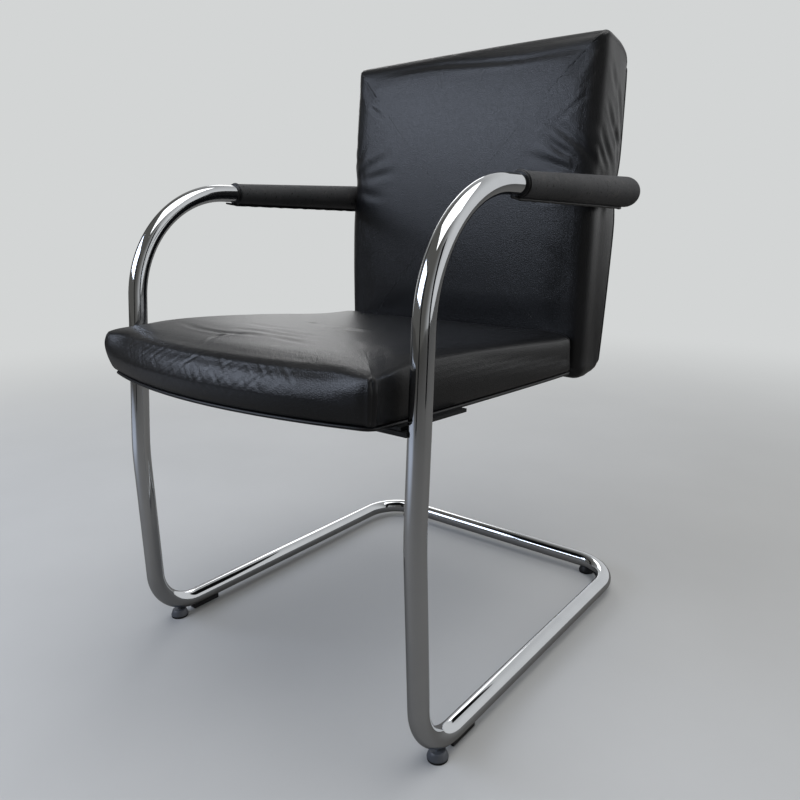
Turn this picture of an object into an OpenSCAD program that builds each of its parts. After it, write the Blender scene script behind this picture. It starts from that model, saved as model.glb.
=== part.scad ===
// Cantilever chair: one bent steel tube carries an upholstered seat and back.
// Sizes are millimetres. +Z is up, the sitter faces -Y, and the origin is on the floor
// under the middle of the chair.

/* [Tube frame] */
// Outer diameter of the frame tube
tube_d = 25; // [22:0.5:27]
// Wall of the frame tube
tube_wall = 2; // [1.5:0.25:3]
// Width between the centre lines of the two sides
frame_w = 504; // [500:1:530]
// Depth from the front corner to the rear crossbar, on the centre lines
frame_depth = 560; // [530:5:600]
// Bend radius at the foot of each leg
foot_r = 67; // [55:1:80]
// Bend radius at the two rear corners
rear_r = 69; // [55:1:80]
// Height of the knee, where the leg stops leaning forwards and starts leaning back
knee_z = 286; // [260:2:310]
// How far the knee stands in front of the front corner
knee_fwd = 6.5; // [2:0.5:10]
// Bend radius of the knee
knee_r = 500; // [400:10:700]
// Height of the arm's centre line over the front bend
arm_z = 653; // [640:1:680]
// How far the arm's corner lies behind the front corner
arm_corner_y = 20; // [12:1:30]
// Bend radius between leg and arm
arm_r = 155; // [130:1:160]
// How much the arm falls towards the back, in degrees
arm_fall = 0.4; // [0:0.1:1]

/* [Arm sleeves] */
// Where the sleeve starts, behind the front corner
sleeve_y = 197; // [190:1:205]
// Thickness of the sleeve on the tube at its front end
sleeve_front_t = 2.7; // [2.4:0.1:4]
// Thickness of the sleeve on the tube at its rear end
sleeve_rear_t = 9.3; // [7:0.1:9.5]
// Thickness of the leather on the sleeve
sleeve_skin = 1.4; // [1:0.1:1.6]
// Width of the two rings at the sleeve's front
lip_w = 5; // [3:0.5:7]
// Thickness of the sewn strip below the sleeve
fin_t = 2; // [1.5:0.1:3]
// Height of the sewn strip below the sleeve's front
fin_h = 3.6; // [2:0.1:5]
// How far the sewn strip runs out in front of the sleeve
fin_out = 20; // [10:1:30]

/* [Seat] */
// Height of the seat's bottom seam above the front corner of the frame
seat_z = 413; // [400:1:425]
// How much the seat falls towards the back, in degrees
seat_fall = 2.9; // [1:0.1:4]
// Clearance between the seat's front corners and the inside of the tubes
seat_clear = 8.5; // [7.5:0.5:17.5]
// How much narrower each side of the seat is at the back
seat_taper = 5; // [1:0.5:13]
// How far the middle of the front edge stands in front of the front corner of the frame
seat_front = 87; // [75:1:95]
// How much the front edge bows forwards
seat_bow = 40; // [25:1:45]
// Depth from the front corner of the frame to the seat's rear edge
seat_rear = 422; // [410:1:430]
// Radius of the seat's front corners in plan
seat_corner_r = 20; // [16:1:28]
// Radius of the seat's rear corners in plan
seat_rear_r = 30; // [24:1:45]
// Height of the cushion's upright front over the bottom seam
seat_edge_h = 44; // [36:1:52]
// How much higher the cushion's side edge stands behind the front edge
seat_rise = 9; // [4:1:16]
// How much lower the side edge is at the back than at its highest
seat_sink = 8; // [2:1:15]
// Height of the crown over the edge
seat_crown = 13; // [6:1:20]

/* [Back] */
// Height of the back's lower end above the floor
back_z = 371; // [366:1:380]
// Length of the back along its rear face
back_h = 493; // [470:1:520]
// Lean of the rear face, in degrees
back_lean = 6.6; // [5:0.1:8]
// Clearance between the back's ends and the inside of the tubes
back_clear = 10.5; // [10.5:0.5:19.5]
// How much the sides swell between the ends
back_swell = 3.5; // [1:0.5:4]
// Thickness at the lower end
back_t = 73; // [68:1:78]
// How much thicker the upper end is
back_grow = 22; // [10:1:30]
// Radius of the back's corners seen from the front
back_corner_r = 16; // [12:1:28]
// Rounding of the front edge
back_edge_r = 12; // [9:1:20]
// Height of the crown over the front face
back_crown = 8; // [4:1:12]

/* [Boards, covers and piping] */
// Thickness of the seat's plywood board
seat_board_t = 12; // [9:0.5:15]
// Thickness of the back's plywood board
back_board_t = 9; // [8:0.5:12]
// Thickness of the cover under the seat
under_t = 4.5; // [4.5:0.25:6]
// Thickness of the cover behind the back
panel_t = 4; // [4:0.25:5]
// Diameter of the seat's piping
seat_cord_d = 4.2; // [3.5:0.1:4.4]
// Diameter of the back's piping
back_cord_d = 3.6; // [3:0.1:4]

/* [Steel fittings] */
// Thickness of the brackets and straps
flat_t = 4; // [3:0.5:5]
// Width of the cross beam between the legs
beam_w = 26; // [20:1:40]
// Thickness of the cross beam
beam_t = 5; // [4:0.5:8]
// Width of the straps that carry the back
strap_w = 30; // [24:1:36]
// Distance of each strap from the middle
strap_x = 120; // [100:2:140]
// Shank diameter of the machine screws and bolts
bolt_d = 6; // [5:0.5:6]
// Head diameter of the machine screws and bolts
head_d = 11; // [10:0.5:12]
// Head height of the machine screws and bolts
head_h = 3; // [2.5:0.25:4]
// How far the bolts into the arms lie in front of the back's rear face
bolt_depth = 46; // [42:1:52]

/* [Glides] */
// Height of the tube's underside above the floor
glide_h = 7.5; // [7:0.5:10]
// Diameter of the front glides
glide_d = 26; // [22:0.5:30]
// Where the front glides stand, behind the front corner
glide_y = 34.5; // [30:0.5:40]
// Diameter of the rear glides
rear_glide_d = 26; // [22:0.5:30]
// How far the rear glides stand inside the sides
rear_glide_in = 53; // [47:1:62]
// Thickness of the black soles
sole_t = 2.5; // [2:0.25:3]
// Length of the pad behind each front glide
pad_len = 46; // [30:1:60]
// Width of the pad behind each front glide
pad_w = 12; // [8:0.5:14]

/* [Hidden] */
$fn = 48;

// Clearance between pieces that seat on each other, and overrun of every cut
gap = 0.2;
over = 1;

// Colours
chrome_grey = [0.78, 0.79, 0.8];
steel_black = [0.1, 0.1, 0.11];
zinc_grey = [0.5, 0.5, 0.52];
leather_black = [0.08, 0.08, 0.09];
cover_black = [0.05, 0.05, 0.055];
ply_tan = [0.72, 0.55, 0.36];
foam_cream = [0.8, 0.77, 0.66];
glide_grey = [0.45, 0.46, 0.48];

// Frame lines
side_x = frame_w / 2;
seat_front_half = side_x - tube_d / 2 - seat_clear;
seat_rear_half = seat_front_half - seat_taper;
back_half = side_x - tube_d / 2 - back_clear;
rear_glide_x = side_x - rear_glide_in;
bore_d = tube_d - 2 * tube_wall;
run_z = glide_h + tube_d / 2;
run_end_y = frame_depth - rear_r;
sleeve_front_r = tube_d / 2 + sleeve_front_t;
sleeve_rear_r = tube_d / 2 + sleeve_rear_t;
back_y = seat_rear + back_t + 3 * gap;
arm_v = (arm_height(back_y) - back_z) / cos(back_lean);
bolt_set = 14;
arm_bolt_y = back_y + arm_v * sin(back_lean) - bolt_depth * cos(back_lean);
tube_end_y = arm_bolt_y + bolt_set;
cone_len = tube_end_y + 4 * sleeve_skin - sleeve_y;
rear_y = frame_depth + tube_d / 2;

// Path of one side in the Y-Z plane, from the arm's end to the rear of the runner
side_path = [
    [tube_end_y, arm_height(tube_end_y)],
    [arm_corner_y, arm_z],
    [-knee_fwd, knee_z],
    [0, run_z],
    [run_end_y, run_z]
];
side_radii = [arm_r, knee_r, foot_r];
side_bends = [for (i = [0:2]) bend(side_path[i], side_path[i + 1], side_path[i + 2], side_radii[i])];

function arm_height(y) = arm_z - (y - arm_corner_y) * tan(arm_fall);
function unit2(v) = v / norm(v);
// Smooth step from 0 to 1
function blend(u) = let (c = min(1, max(0, u))) c * c * (3 - 2 * c);
// The bend at corner b between a and c: start, end, centre, first angle, sweep, radius
function bend(a, b, c, r) =
    let (
        u = unit2(a - b),
        v = unit2(c - b),
        half = acos(u * v) / 2,
        s = b + u * r / tan(half),
        e = b + v * r / tan(half),
        m = b + unit2(u + v) * r / sin(half),
        a0 = atan2(s[1] - m[1], s[0] - m[0]),
        a1 = atan2(e[1] - m[1], e[0] - m[0]),
        turn = (a1 - a0 + 540) % 360 - 180
    ) [s, e, m, turn > 0 ? a0 : a1, abs(turn), r];

// Levels and places under the seat, measured from its bottom seam; the boards have a share of
// their cushion's outline
fit_top = -under_t - 2 * gap;
fit_low = fit_top - flat_t;
beam_top = fit_low - gap;
leg_slope = (arm_corner_y + knee_fwd) / (arm_z - knee_z);
beam_y = (seat_z + beam_top - beam_t - knee_z) * leg_slope - knee_fwd;
beam_half = side_x - tube_d / 4;
board_share = 0.86;
bracket_front = 10;
bracket_rear = 110;
bracket_gap = 2;
bracket_x = side_x - tube_d / 2 - bracket_gap;
screw_pitch = 32;
screw_edge = 12;
screw_inset = 7;
screw_x = seat_front_half * board_share - screw_edge;
bracket_in = bracket_x - screw_x + screw_inset;
screw_places = [for (i = [0:2]) bracket_rear - screw_edge - screw_pitch * i];

// Half of the seat's outline, from the middle of the front edge to the middle of the rear edge
front_steps = 9;
corner_steps = 4;
side_steps = 8;
back_steps = 10;
seat_draw = 3;
front_slope = atan(2 * seat_bow / seat_front_half);
front_end_x = seat_front_half - seat_corner_r * (1 - sin(front_slope));
corner_y = front_curve(front_end_x) + seat_corner_r * cos(front_slope);
seat_side_len = seat_rear - seat_rear_r - corner_y;
function front_curve(x) = seat_bow * pow(x / seat_front_half, 2) - seat_front;
function side_half(u) = seat_front_half + (seat_rear_half - seat_front_half) * u - seat_draw * sin(180 * u);
function arc(c, r, a0, a1, n) = [for (i = [0:n]) let (a = a0 + (a1 - a0) * i / n) c + r * [cos(a), sin(a)]];
seat_half = concat(
    [for (i = [0:front_steps - 1]) let (x = front_end_x * i / front_steps) [x, front_curve(x)]],
    arc([seat_front_half - seat_corner_r, corner_y], seat_corner_r, front_slope - 90, 0, corner_steps),
    [for (i = [1:side_steps - 1]) let (u = i / side_steps) [side_half(u), corner_y + seat_side_len * u]],
    arc([seat_rear_half - seat_rear_r, seat_rear - seat_rear_r], seat_rear_r, 0, 90, corner_steps),
    [for (i = [1:3]) [(seat_rear_half - seat_rear_r) * (1 - i / 3), seat_rear]]
);

// Half of the back's outline, from the middle of the lower edge to the middle of the upper edge
back_end_x = back_half - back_corner_r;
back_side_len = back_h - 2 * back_corner_r;
back_half_line = concat(
    [for (i = [0:3]) [back_end_x * i / 4, 0]],
    arc([back_end_x, back_corner_r], back_corner_r, -90, 0, corner_steps),
    [for (i = [1:back_steps - 1]) let (u = i / back_steps)
        [back_half + back_swell * sin(180 * u), back_corner_r + back_side_len * u]],
    arc([back_end_x, back_h - back_corner_r], back_corner_r, 0, 90, corner_steps),
    [for (i = [1:4]) [back_end_x * (1 - i / 4), back_h]]
);

// The whole outline, anticlockwise, from its right half, and its outward normals
function whole(h) = concat(h, [for (i = [len(h) - 2:-1:1]) [-h[i][0], h[i][1]]]);
function normals(p) = let (n = len(p)) [for (i = [0:n - 1])
    let (d = p[(i + 1) % n] - p[(i + n - 1) % n]) unit2([d[1], -d[0]])];
seat_line = whole(seat_half);
seat_normal = normals(seat_line);
seat_count = len(seat_line) - 1;
back_line = whole(back_half_line);
back_normal = normals(back_line);
back_count = len(back_line) - 1;

// Seat surface: the outline moved out by off, then drawn in to share k about the centre
seat_centre = [0, (seat_rear - seat_front) / 2];
front_swell = 7;
side_share = 0.3;
rise_len = 130;
function swell_share(n) = n[1] < 0 ? side_share - (1 - side_share) * n[1] : side_share * (1 - n[1]);
function seat_pt(i, off, k) =
    let (p = seat_line[i] + seat_normal[i] * (off > 0 ? off * swell_share(seat_normal[i]) : off))
    seat_centre + k * (p - seat_centre);
function edge_height(y) = seat_edge_h + seat_rise * blend((y + seat_front) / rise_len)
    - seat_sink * blend((y - rise_len / 2) / (seat_rear - rise_len / 2));
// Rings from the bottom seam over the side to the crown: swell, outline, height and crown shares
seat_ring_shares = [
    [-0.3, 1, 0, 0], [0.3, 1, 0.14, 0], [0.75, 1, 0.38, 0], [1, 1, 0.62, 0], [1, 1, 0.85, 0],
    [0.9, 1, 1, 0.02], [0.7, 0.998, 1, 0.28], [0.25, 0.989, 1, 0.58], [-0.5, 0.965, 1, 0.8],
    [-1.3, 0.92, 1, 0.91], [-1.6, 0.74, 1, 0.97], [-1.6, 0.48, 1, 0.99], [-1.6, 0.2, 1, 1]
];
seat_seam = seat_ring_shares[0][0] * front_swell;
function seat_ring(r) = [for (i = [0:seat_count])
    let (p = seat_pt(i, r[0] * front_swell, r[1]))
    [p[0], p[1], r[2] * edge_height(p[1]) + r[3] * seat_crown]];
function seat_flat(k, z) = [for (i = [0:seat_count]) let (p = seat_pt(i, seat_seam, k)) [p[0], p[1], z]];
function seat_plate(off, k) = [for (i = [0:seat_count]) seat_pt(i, off, k)];
function from_seat(y, z) =
    [y * cos(seat_fall) + z * sin(seat_fall), seat_z - y * sin(seat_fall) + z * cos(seat_fall)];

// The chair's middle is moved over the origin
front_y = min([for (r = seat_ring_shares) let (p = seat_ring(r)[0]) from_seat(p[1], p[2])[0]]);
shift_y = -(front_y + rear_y) / 2;

// Share of the cushions' outline that is left free round the boards
fit_share = 0.003;
seat_pocket = seat_board_t + 3 * gap;
back_pocket = back_board_t + 3 * gap;

// Back surface in its own frame: x across, y up the rear face, z forwards from the rear face
back_centre = [0, back_h / 2];
rear_drop = 19;
low_drop = 15;
low_power = 0.6;
full_share = 0.86;
end_zone = 60;
side_puff_share = 0.08;
arm_gap = 0.6;
arm_dent = max(0, back_half + back_swell + side_puff_share * back_edge_r - side_x + sleeve_rear_r + arm_gap);
arm_dent_w = 30;
// The seat's rear meets the lower front of the back, which stays flat there
crown_low = seat_z + seat_edge_h - back_z - end_zone / 2;
// The front face bulges: it is thickest from a share of its height upwards
function back_depth(v) = back_t + back_grow * (1 - pow(1 - min(1, max(0, v / (full_share * back_h))), 2));
function dent(q) = arm_dent * exp(-pow((q[1] - arm_v) / arm_dent_w, 2)) * blend(abs(q[0]) / back_half);
// The outline moved out by off, its two ends drawn in by drop, then drawn in to share k
function back_pt(i, off, drop, k) =
    let (
        v = back_line[i][1],
        q = back_line[i] + back_normal[i] * off,
        low = low_drop * pow(drop / rear_drop, low_power) * blend((end_zone - v) / end_zone),
        ends = low - drop * blend((v - back_h + end_zone) / end_zone),
        p = [q[0] - sign(q[0]) * dent(q), q[1] + ends]
    ) back_centre + k * (p - back_centre);
// Rings from the rear seam over the side to the crown: offset and drop, depth and edge,
// outline and crown shares
back_ring_shares = [
    [-0.1, 1, 0, 0, 1, 0], [0, 0.42, 0.12, 0, 1, 0], [side_puff_share, 0.1, 0.38, 0, 1, 0],
    [side_puff_share, 0, 0.68, 0, 1, 0], [0, 0, 1, 0, 1, 0], [-0.13, 0, 1, 0.5, 1, 0],
    [-0.5, 0, 1, 0.87, 1, 0], [-1, 0, 1, 1, 1, 0.04], [-1, 0, 1, 1, 0.92, 0.3],
    [-1, 0, 1, 1, 0.78, 0.58], [-1, 0, 1, 1, 0.6, 0.8], [-1, 0, 1, 1, 0.38, 0.94], [-1, 0, 1, 1, 0.16, 0.99]
];
back_seam = back_ring_shares[0][0] * back_edge_r;
back_base = panel_t + gap;
function back_ring(r) = [for (i = [0:back_count])
    let (
        p = back_pt(i, r[0] * back_edge_r, r[1] * rear_drop, r[4]),
        side = back_depth(p[1]) - back_edge_r - back_base,
        crown = r[5] * back_crown * blend((p[1] - crown_low) / end_zone)
    ) [p[0], p[1], back_base + r[2] * side + r[3] * back_edge_r + crown]];
function back_plate(off, k) = [for (i = [0:back_count]) back_pt(i, back_seam + off, rear_drop, k)];
function back_flat(k, z) = [for (p = back_plate(0, k)) [p[0], p[1], z]];
function from_back(v, z) =
    [back_y + v * sin(back_lean) - z * cos(back_lean), back_z + v * cos(back_lean) + z * sin(back_lean)];
board_front = back_base + gap + back_board_t;

// Straps between the two boards, as a line in the Y-Z plane
strap_lead = 290;
strap_up = 150;
strap_r = 12;
strap_hole_edge = 20;
strap_hole_pitch = 50;
strap_depth = board_front + gap + flat_t / 2;
strap_start = from_seat(strap_lead, fit_top - flat_t / 2);
strap_end = from_back(strap_up, strap_depth);
strap_low = from_back(0, strap_depth);
// How far up the back's line the two legs of the strap cross
strap_v = (strap_start[1] - strap_low[1] - (strap_low[0] - strap_start[0]) * tan(seat_fall))
    / (sin(back_lean) * tan(seat_fall) + cos(back_lean));
strap_bend = bend(strap_start, from_back(strap_v, strap_depth), strap_end, strap_r);
strap_holes = [for (i = [0, 1]) strap_lead + strap_hole_edge + strap_hole_pitch * i];
strap_up_holes = [for (i = [0, 1]) strap_up - strap_hole_edge - strap_hole_pitch * i];

// Fittings between the back and the arms
lug_inset = 17;
lug_x = back_half - lug_inset;
lug_w = 46;
lug_h = 34;
lug_reach = 50;
lug_screw_places = [-9, 9];
lug_screw_x = lug_x - lug_w + screw_edge;
arm_bolt_z = arm_height(arm_bolt_y);
bolt_v = (arm_bolt_y - back_y) * sin(back_lean) + (arm_bolt_z - back_z) * cos(back_lean);
insert_d = 10;
insert_len = 11;
plug_depth = 7;
plug_cap = 2;
screw_d = 4.5;
screw_head_d = 8;
screw_head_h = 2;

// Places
module place() { translate([0, shift_y, 0]) children(); }
module on_seat() { place() translate([0, 0, seat_z]) rotate([-seat_fall, 0, 0]) children(); }
module on_back() { place() translate([0, back_y, back_z]) rotate([90 - back_lean, 0, 0]) children(); }
module on_arm(side) {
    place() translate([side * side_x, sleeve_y, arm_height(sleeve_y)]) rotate([-90 - arm_fall, 0, 0]) children();
}
module at_arm_bolt(side, x) {
    place() translate([side * x, arm_bolt_y, arm_bolt_z]) rotate([0, 90 * side, 0]) children();
}

// Bars that follow a line in the Y-Z plane; the child is their cross-section
module bar_line(p, q) {
    translate([0, p[0], p[1]]) rotate([atan2(q[1] - p[1], q[0] - p[0]) - 90, 0, 0])
        linear_extrude(height = norm(q - p)) children();
}
module bar_bend(b, reach = 0) {
    translate([0, b[2][0], b[2][1]]) rotate([90, 0, 90])
        rotate_extrude(angle = b[4] + 2 * reach, start = b[3] - reach, $fn = 96) translate([b[5], 0]) children();
}
// The bend from the runner into the rear crossbar
module corner_bend(reach = 0) {
    translate([side_x - rear_r, run_end_y, run_z])
        rotate_extrude(angle = 90 + 2 * reach, start = -reach, $fn = 96) translate([rear_r, 0]) children();
}
// Each bend reaches a little into the straight tubes beside it and is a hair thinner there
join_turn = 0.2;
join_slack = 0.2;
module tube_section(slack = 0) {
    difference() {
        circle(d = tube_d - slack);
        circle(d = bore_d + slack);
    }
}

// Tube frame
module tube_frame() color(chrome_grey) difference() {
    place() for (side = [0, 1]) mirror([side, 0, 0]) {
        translate([side_x, 0, 0]) {
            bar_line(side_path[0], side_bends[0][0]) tube_section();
            bar_bend(side_bends[0], join_turn) tube_section(join_slack);
            bar_line(side_bends[0][1], side_bends[1][0]) tube_section();
            bar_bend(side_bends[1], join_turn) tube_section(join_slack);
            bar_line(side_bends[1][1], side_bends[2][0]) tube_section();
            bar_bend(side_bends[2], join_turn) tube_section(join_slack);
            bar_line(side_bends[2][1], side_path[4]) tube_section();
        }
        corner_bend(join_turn) tube_section(join_slack);
        translate([0, frame_depth, run_z]) rotate([0, 90, 0])
            linear_extrude(height = side_x - rear_r) tube_section();
    }
    at_glides(0) cylinder(d = screw_d + 2 * gap, h = run_z);
    for (side = [-1, 1]) at_arm_bolt(side, side_x - tube_d) cylinder(d = insert_d + 2 * gap, h = tube_d);
}

// Steel under the seat
module leg_cut() {
    place() for (side = [-1, 1]) translate([side * side_x, 0, 0])
        bar_line(side_bends[1][0], side_bends[0][1]) circle(d = tube_d + 2 * gap);
}
module seat_beam() color(steel_black) difference() {
    on_seat() translate([-beam_half, beam_y - beam_w / 2, beam_top - beam_t]) cube([2 * beam_half, beam_w, beam_t]);
    leg_cut();
}
module seat_bracket(side) color(steel_black) difference() {
    on_seat() translate([side > 0 ? bracket_x - bracket_in : -bracket_x, -bracket_front, fit_low])
        cube([bracket_in, bracket_front + bracket_rear, flat_t]);
    seat_bores();
}
module seat_bracket_left() seat_bracket(-1);
module seat_bracket_right() seat_bracket(1);

// A pan-headed screw: the head hangs below its seat and the shank points up
module screw(shank_d, cap_d, cap_h, length) {
    translate([0, 0, -cap_h]) cylinder(d = cap_d, h = cap_h);
    translate([0, 0, -cap_h / 2]) cylinder(d = shank_d, h = length + cap_h / 2);
}
seat_screw_len = flat_t + under_t + seat_board_t - over;
module at_seat_screws() {
    on_seat() for (side = [-1, 1], y = screw_places) translate([side * screw_x, y, fit_low - gap / 2]) children();
}
module at_strap_screws() {
    on_seat() for (side = [-1, 1], y = strap_holes) translate([side * strap_x, y, fit_low - gap / 2]) children();
}
module seat_bores() {
    at_seat_screws() cylinder(d = bolt_d + 2 * gap, h = seat_screw_len + 2 * over);
    at_strap_screws() cylinder(d = bolt_d + 2 * gap, h = seat_screw_len + 2 * over);
}
module seat_screws() color(zinc_grey) at_seat_screws() screw(bolt_d, head_d, head_h, seat_screw_len);

// Seat
module seat_board() color(ply_tan) difference() {
    on_seat() translate([0, 0, gap]) linear_extrude(height = seat_board_t)
        polygon(seat_plate(seat_seam, board_share - fit_share));
    seat_bores();
}
module seat_undercover() color(cover_black) difference() {
    on_seat() translate([0, 0, -under_t - gap]) linear_extrude(height = under_t)
        polygon(seat_plate(-seat_cord_d - over, 1));
    seat_bores();
}
module seat_cushion() color(leather_black) on_seat() shell(
    [for (r = seat_ring_shares) seat_ring(r)],
    [concat(seat_centre, [edge_height(seat_centre[1]) + seat_crown])],
    [seat_flat(board_share, 0), seat_flat(board_share, seat_pocket)],
    [concat(seat_centre, [seat_pocket])]
);
module seat_piping() color(cover_black) on_seat()
    closed_cord([for (p = seat_plate(-seat_cord_d / 2, 1)) [p[0], p[1], -seat_cord_d / 2 - gap]],
        seat_normal, seat_cord_d / 2);

// A closed skin: rings over the outside and the point that closes them,
// then the rings of the pocket and the point that closes those
module shell(rings, tip, pocket, pit) {
    n = len(rings[0]);
    m = len(rings);
    p0 = m * n;
    t1 = p0 + 2 * n;
    points = concat([for (r = rings) for (p = r) p], [for (r = pocket) for (p = r) p], tip, pit);
    faces = concat(
        [for (j = [0:m - 2], i = [0:n - 1], h = [0, 1]) let (a = j * n, b = a + n, k = (i + 1) % n)
            h == 0 ? [a + i, b + k, a + k] : [a + i, b + i, b + k]],
        [for (i = [0:n - 1]) [p0 - n + i, t1, p0 - n + (i + 1) % n]],
        [for (i = [0:n - 1], h = [0, 1]) let (k = (i + 1) % n) h == 0 ? [i, k, p0 + k] : [i, p0 + k, p0 + i]],
        [for (i = [0:n - 1], h = [0, 1]) let (k = (i + 1) % n)
            h == 0 ? [p0 + i, p0 + k, p0 + n + k] : [p0 + i, p0 + n + k, p0 + n + i]],
        [for (i = [0:n - 1]) [p0 + n + i, p0 + n + (i + 1) % n, t1 + 1]]
    );
    polyhedron(points = points, faces = faces);
}
// A round cord along a closed flat line; out holds the line's outward normals
cord_sides = 8;
module closed_cord(line, out, r) {
    n = len(line);
    points = [for (i = [0:n - 1], j = [0:cord_sides - 1]) let (a = 360 * (j + 0.5) / cord_sides)
        line[i] + r * [out[i][0] * cos(a), out[i][1] * cos(a), sin(a)]];
    faces = [for (i = [0:n - 1], j = [0:cord_sides - 1], h = [0, 1])
        let (a = i * cord_sides, b = ((i + 1) % n) * cord_sides, k = (j + 1) % cord_sides)
        h == 0 ? [a + j, a + k, b + k] : [a + j, b + k, b + j]];
    polyhedron(points = points, faces = faces);
}

// Back
module at_strap_tops(z) {
    on_back() for (side = [-1, 1], v = strap_up_holes) translate([side * strap_x, v, z]) children();
}
module at_lug_screws(z) {
    on_back() for (side = [-1, 1], v = lug_screw_places) translate([side * lug_screw_x, bolt_v + v, z]) children();
}
module back_board() color(ply_tan) difference() {
    on_back() translate([0, 0, back_base + gap]) linear_extrude(height = back_board_t)
        polygon(back_plate(0, board_share - fit_share));
    at_strap_tops(0) cylinder(d = bolt_d + 2 * gap, h = back_t);
    at_lug_screws(0) cylinder(d = screw_d + 2 * gap, h = back_t);
}
module back_panel() color(cover_black) on_back()
    linear_extrude(height = panel_t) polygon(back_plate(-back_cord_d - over, 1));
module back_cushion() color(leather_black) difference() {
    on_back() shell(
        [for (r = back_ring_shares) back_ring(r)],
        [concat(back_centre, [back_depth(back_centre[1]) + back_crown])],
        [back_flat(board_share, back_base), back_flat(board_share, back_base + back_pocket)],
        [concat(back_centre, [back_base + back_pocket])]
    );
    for (side = [-1, 1]) {
        on_back() translate([side * strap_x - strap_w / 2 - 2 * gap, -back_t, board_front])
            cube([strap_w + 4 * gap, back_t + strap_up + over, flat_t + head_h + 3 * gap]);
        on_seat() translate([side * strap_x - strap_w / 2 - 2 * gap, seat_rear - over, fit_low - back_t])
            cube([strap_w + 4 * gap, back_t - board_front - flat_t, back_t + flat_t + strap_r / 2]);
        on_back() translate([side > 0 ? lug_x - lug_w - gap : -lug_x - gap, bolt_v - lug_h / 2 - gap, board_front])
            cube([lug_w + 2 * gap, lug_h + 2 * gap, lug_reach + 2 * gap]);
        at_arm_bolt(side, lug_x - over) cylinder(d = bolt_d + 4 * gap, h = side_x - lug_x, $fn = 8);
    }
}
module back_piping() color(cover_black) on_back()
    closed_cord([for (p = back_plate(-back_cord_d / 2, 1)) [p[0], p[1], panel_t - back_cord_d / 2]],
        back_normal, back_cord_d / 2);

// Straps from the seat board to the back board, as one outline in the Y-Z plane
function strap_edge(off) = concat(
    [from_seat(strap_lead, fit_top - flat_t / 2 + off)],
    arc(strap_bend[2], strap_r - off, strap_bend[3], strap_bend[3] + strap_bend[4], 2 * corner_steps),
    [from_back(strap_up, strap_depth + off)]
);
module back_strap(side) color(steel_black) difference() {
    place() translate([side * strap_x - strap_w / 2, 0, 0]) rotate([90, 0, 90]) linear_extrude(height = strap_w)
        polygon(concat(strap_edge(-flat_t / 2), [for (i = [2 * corner_steps + 2:-1:0]) strap_edge(flat_t / 2)[i]]));
    at_strap_screws() cylinder(d = bolt_d + 2 * gap, h = 2 * flat_t);
    at_strap_tops(0) cylinder(d = bolt_d + 2 * gap, h = back_t);
}
module back_strap_left() back_strap(-1);
module back_strap_right() back_strap(1);
module strap_screws() color(zinc_grey) {
    at_strap_screws() screw(bolt_d, head_d, head_h, seat_screw_len);
    at_strap_tops(board_front + flat_t + 3 * gap / 2) rotate([180, 0, 0])
        screw(bolt_d, head_d, head_h - gap, flat_t + back_board_t - over);
}

// Lugs and bolts that hold the back between the arms
module back_lug(side) color(steel_black) difference() {
    on_back() translate([0, bolt_v - lug_h / 2, board_front + gap]) {
        translate([side > 0 ? lug_x - lug_w : -lug_x, 0, 0]) cube([lug_w, lug_h, flat_t]);
        translate([side > 0 ? lug_x - flat_t : -lug_x, 0, 0]) cube([flat_t, lug_h, lug_reach]);
    }
    at_lug_screws(board_front) cylinder(d = screw_d + 2 * gap, h = 2 * flat_t);
    at_arm_bolt(side, lug_x - 2 * flat_t) cylinder(d = bolt_d + 2 * gap, h = 3 * flat_t);
}
module back_lug_left() back_lug(-1);
module back_lug_right() back_lug(1);
module lug_screws() color(zinc_grey) at_lug_screws(board_front + flat_t + 3 * gap / 2) rotate([180, 0, 0])
    screw(screw_d, screw_head_d, screw_head_h, flat_t + back_board_t - over);
module arm_bolt(side) color(zinc_grey) at_arm_bolt(side, lug_x - flat_t - gap / 2)
    screw(bolt_d, head_d, head_h, side_x - tube_d / 2 + insert_len - lug_x + flat_t);
module arm_bolt_left() arm_bolt(-1);
module arm_bolt_right() arm_bolt(1);
module arm_insert(side) color(zinc_grey) at_arm_bolt(side, side_x - tube_d / 2) difference() {
    cylinder(d = insert_d, h = insert_len);
    translate([0, 0, -over]) cylinder(d = bolt_d + gap, h = insert_len + 2 * over);
}
module arm_insert_left() arm_insert(-1);
module arm_insert_right() arm_insert(1);

// Arm sleeves; the cone runs along z and the lower side is +y
tube_in_sleeve = (tube_end_y - sleeve_y) / cos(arm_fall);
module sleeve_solid(inset) {
    cylinder(r1 = sleeve_front_r - inset, r2 = sleeve_rear_r - inset, h = cone_len);
    translate([0, 0, cone_len]) sphere(r = sleeve_rear_r - inset);
}
module arm_cover(side) color(leather_black) difference() {
    on_arm(side) difference() {
        sleeve_solid(0);
        sleeve_solid(sleeve_skin);
    }
    at_arm_bolt(side, side_x - tube_d) cylinder(d = bolt_d + 4 * gap, h = tube_d);
}
module arm_pad(side) color(foam_cream) difference() {
    on_arm(side) difference() {
        sleeve_solid(sleeve_skin + gap);
        translate([0, 0, -over]) cylinder(d = tube_d + 2 * gap, h = tube_in_sleeve + plug_cap + gap + over);
    }
    at_arm_bolt(side, side_x - tube_d) cylinder(d = insert_d + 4 * gap, h = tube_d);
}
module arm_plug(side) color(cover_black) on_arm(side) translate([0, 0, tube_in_sleeve + gap / 2]) {
    cylinder(d = tube_d - over, h = plug_cap - gap / 2);
    translate([0, 0, -plug_depth]) cylinder(d = bore_d - 2 * gap, h = plug_depth + plug_cap / 2);
}
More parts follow.
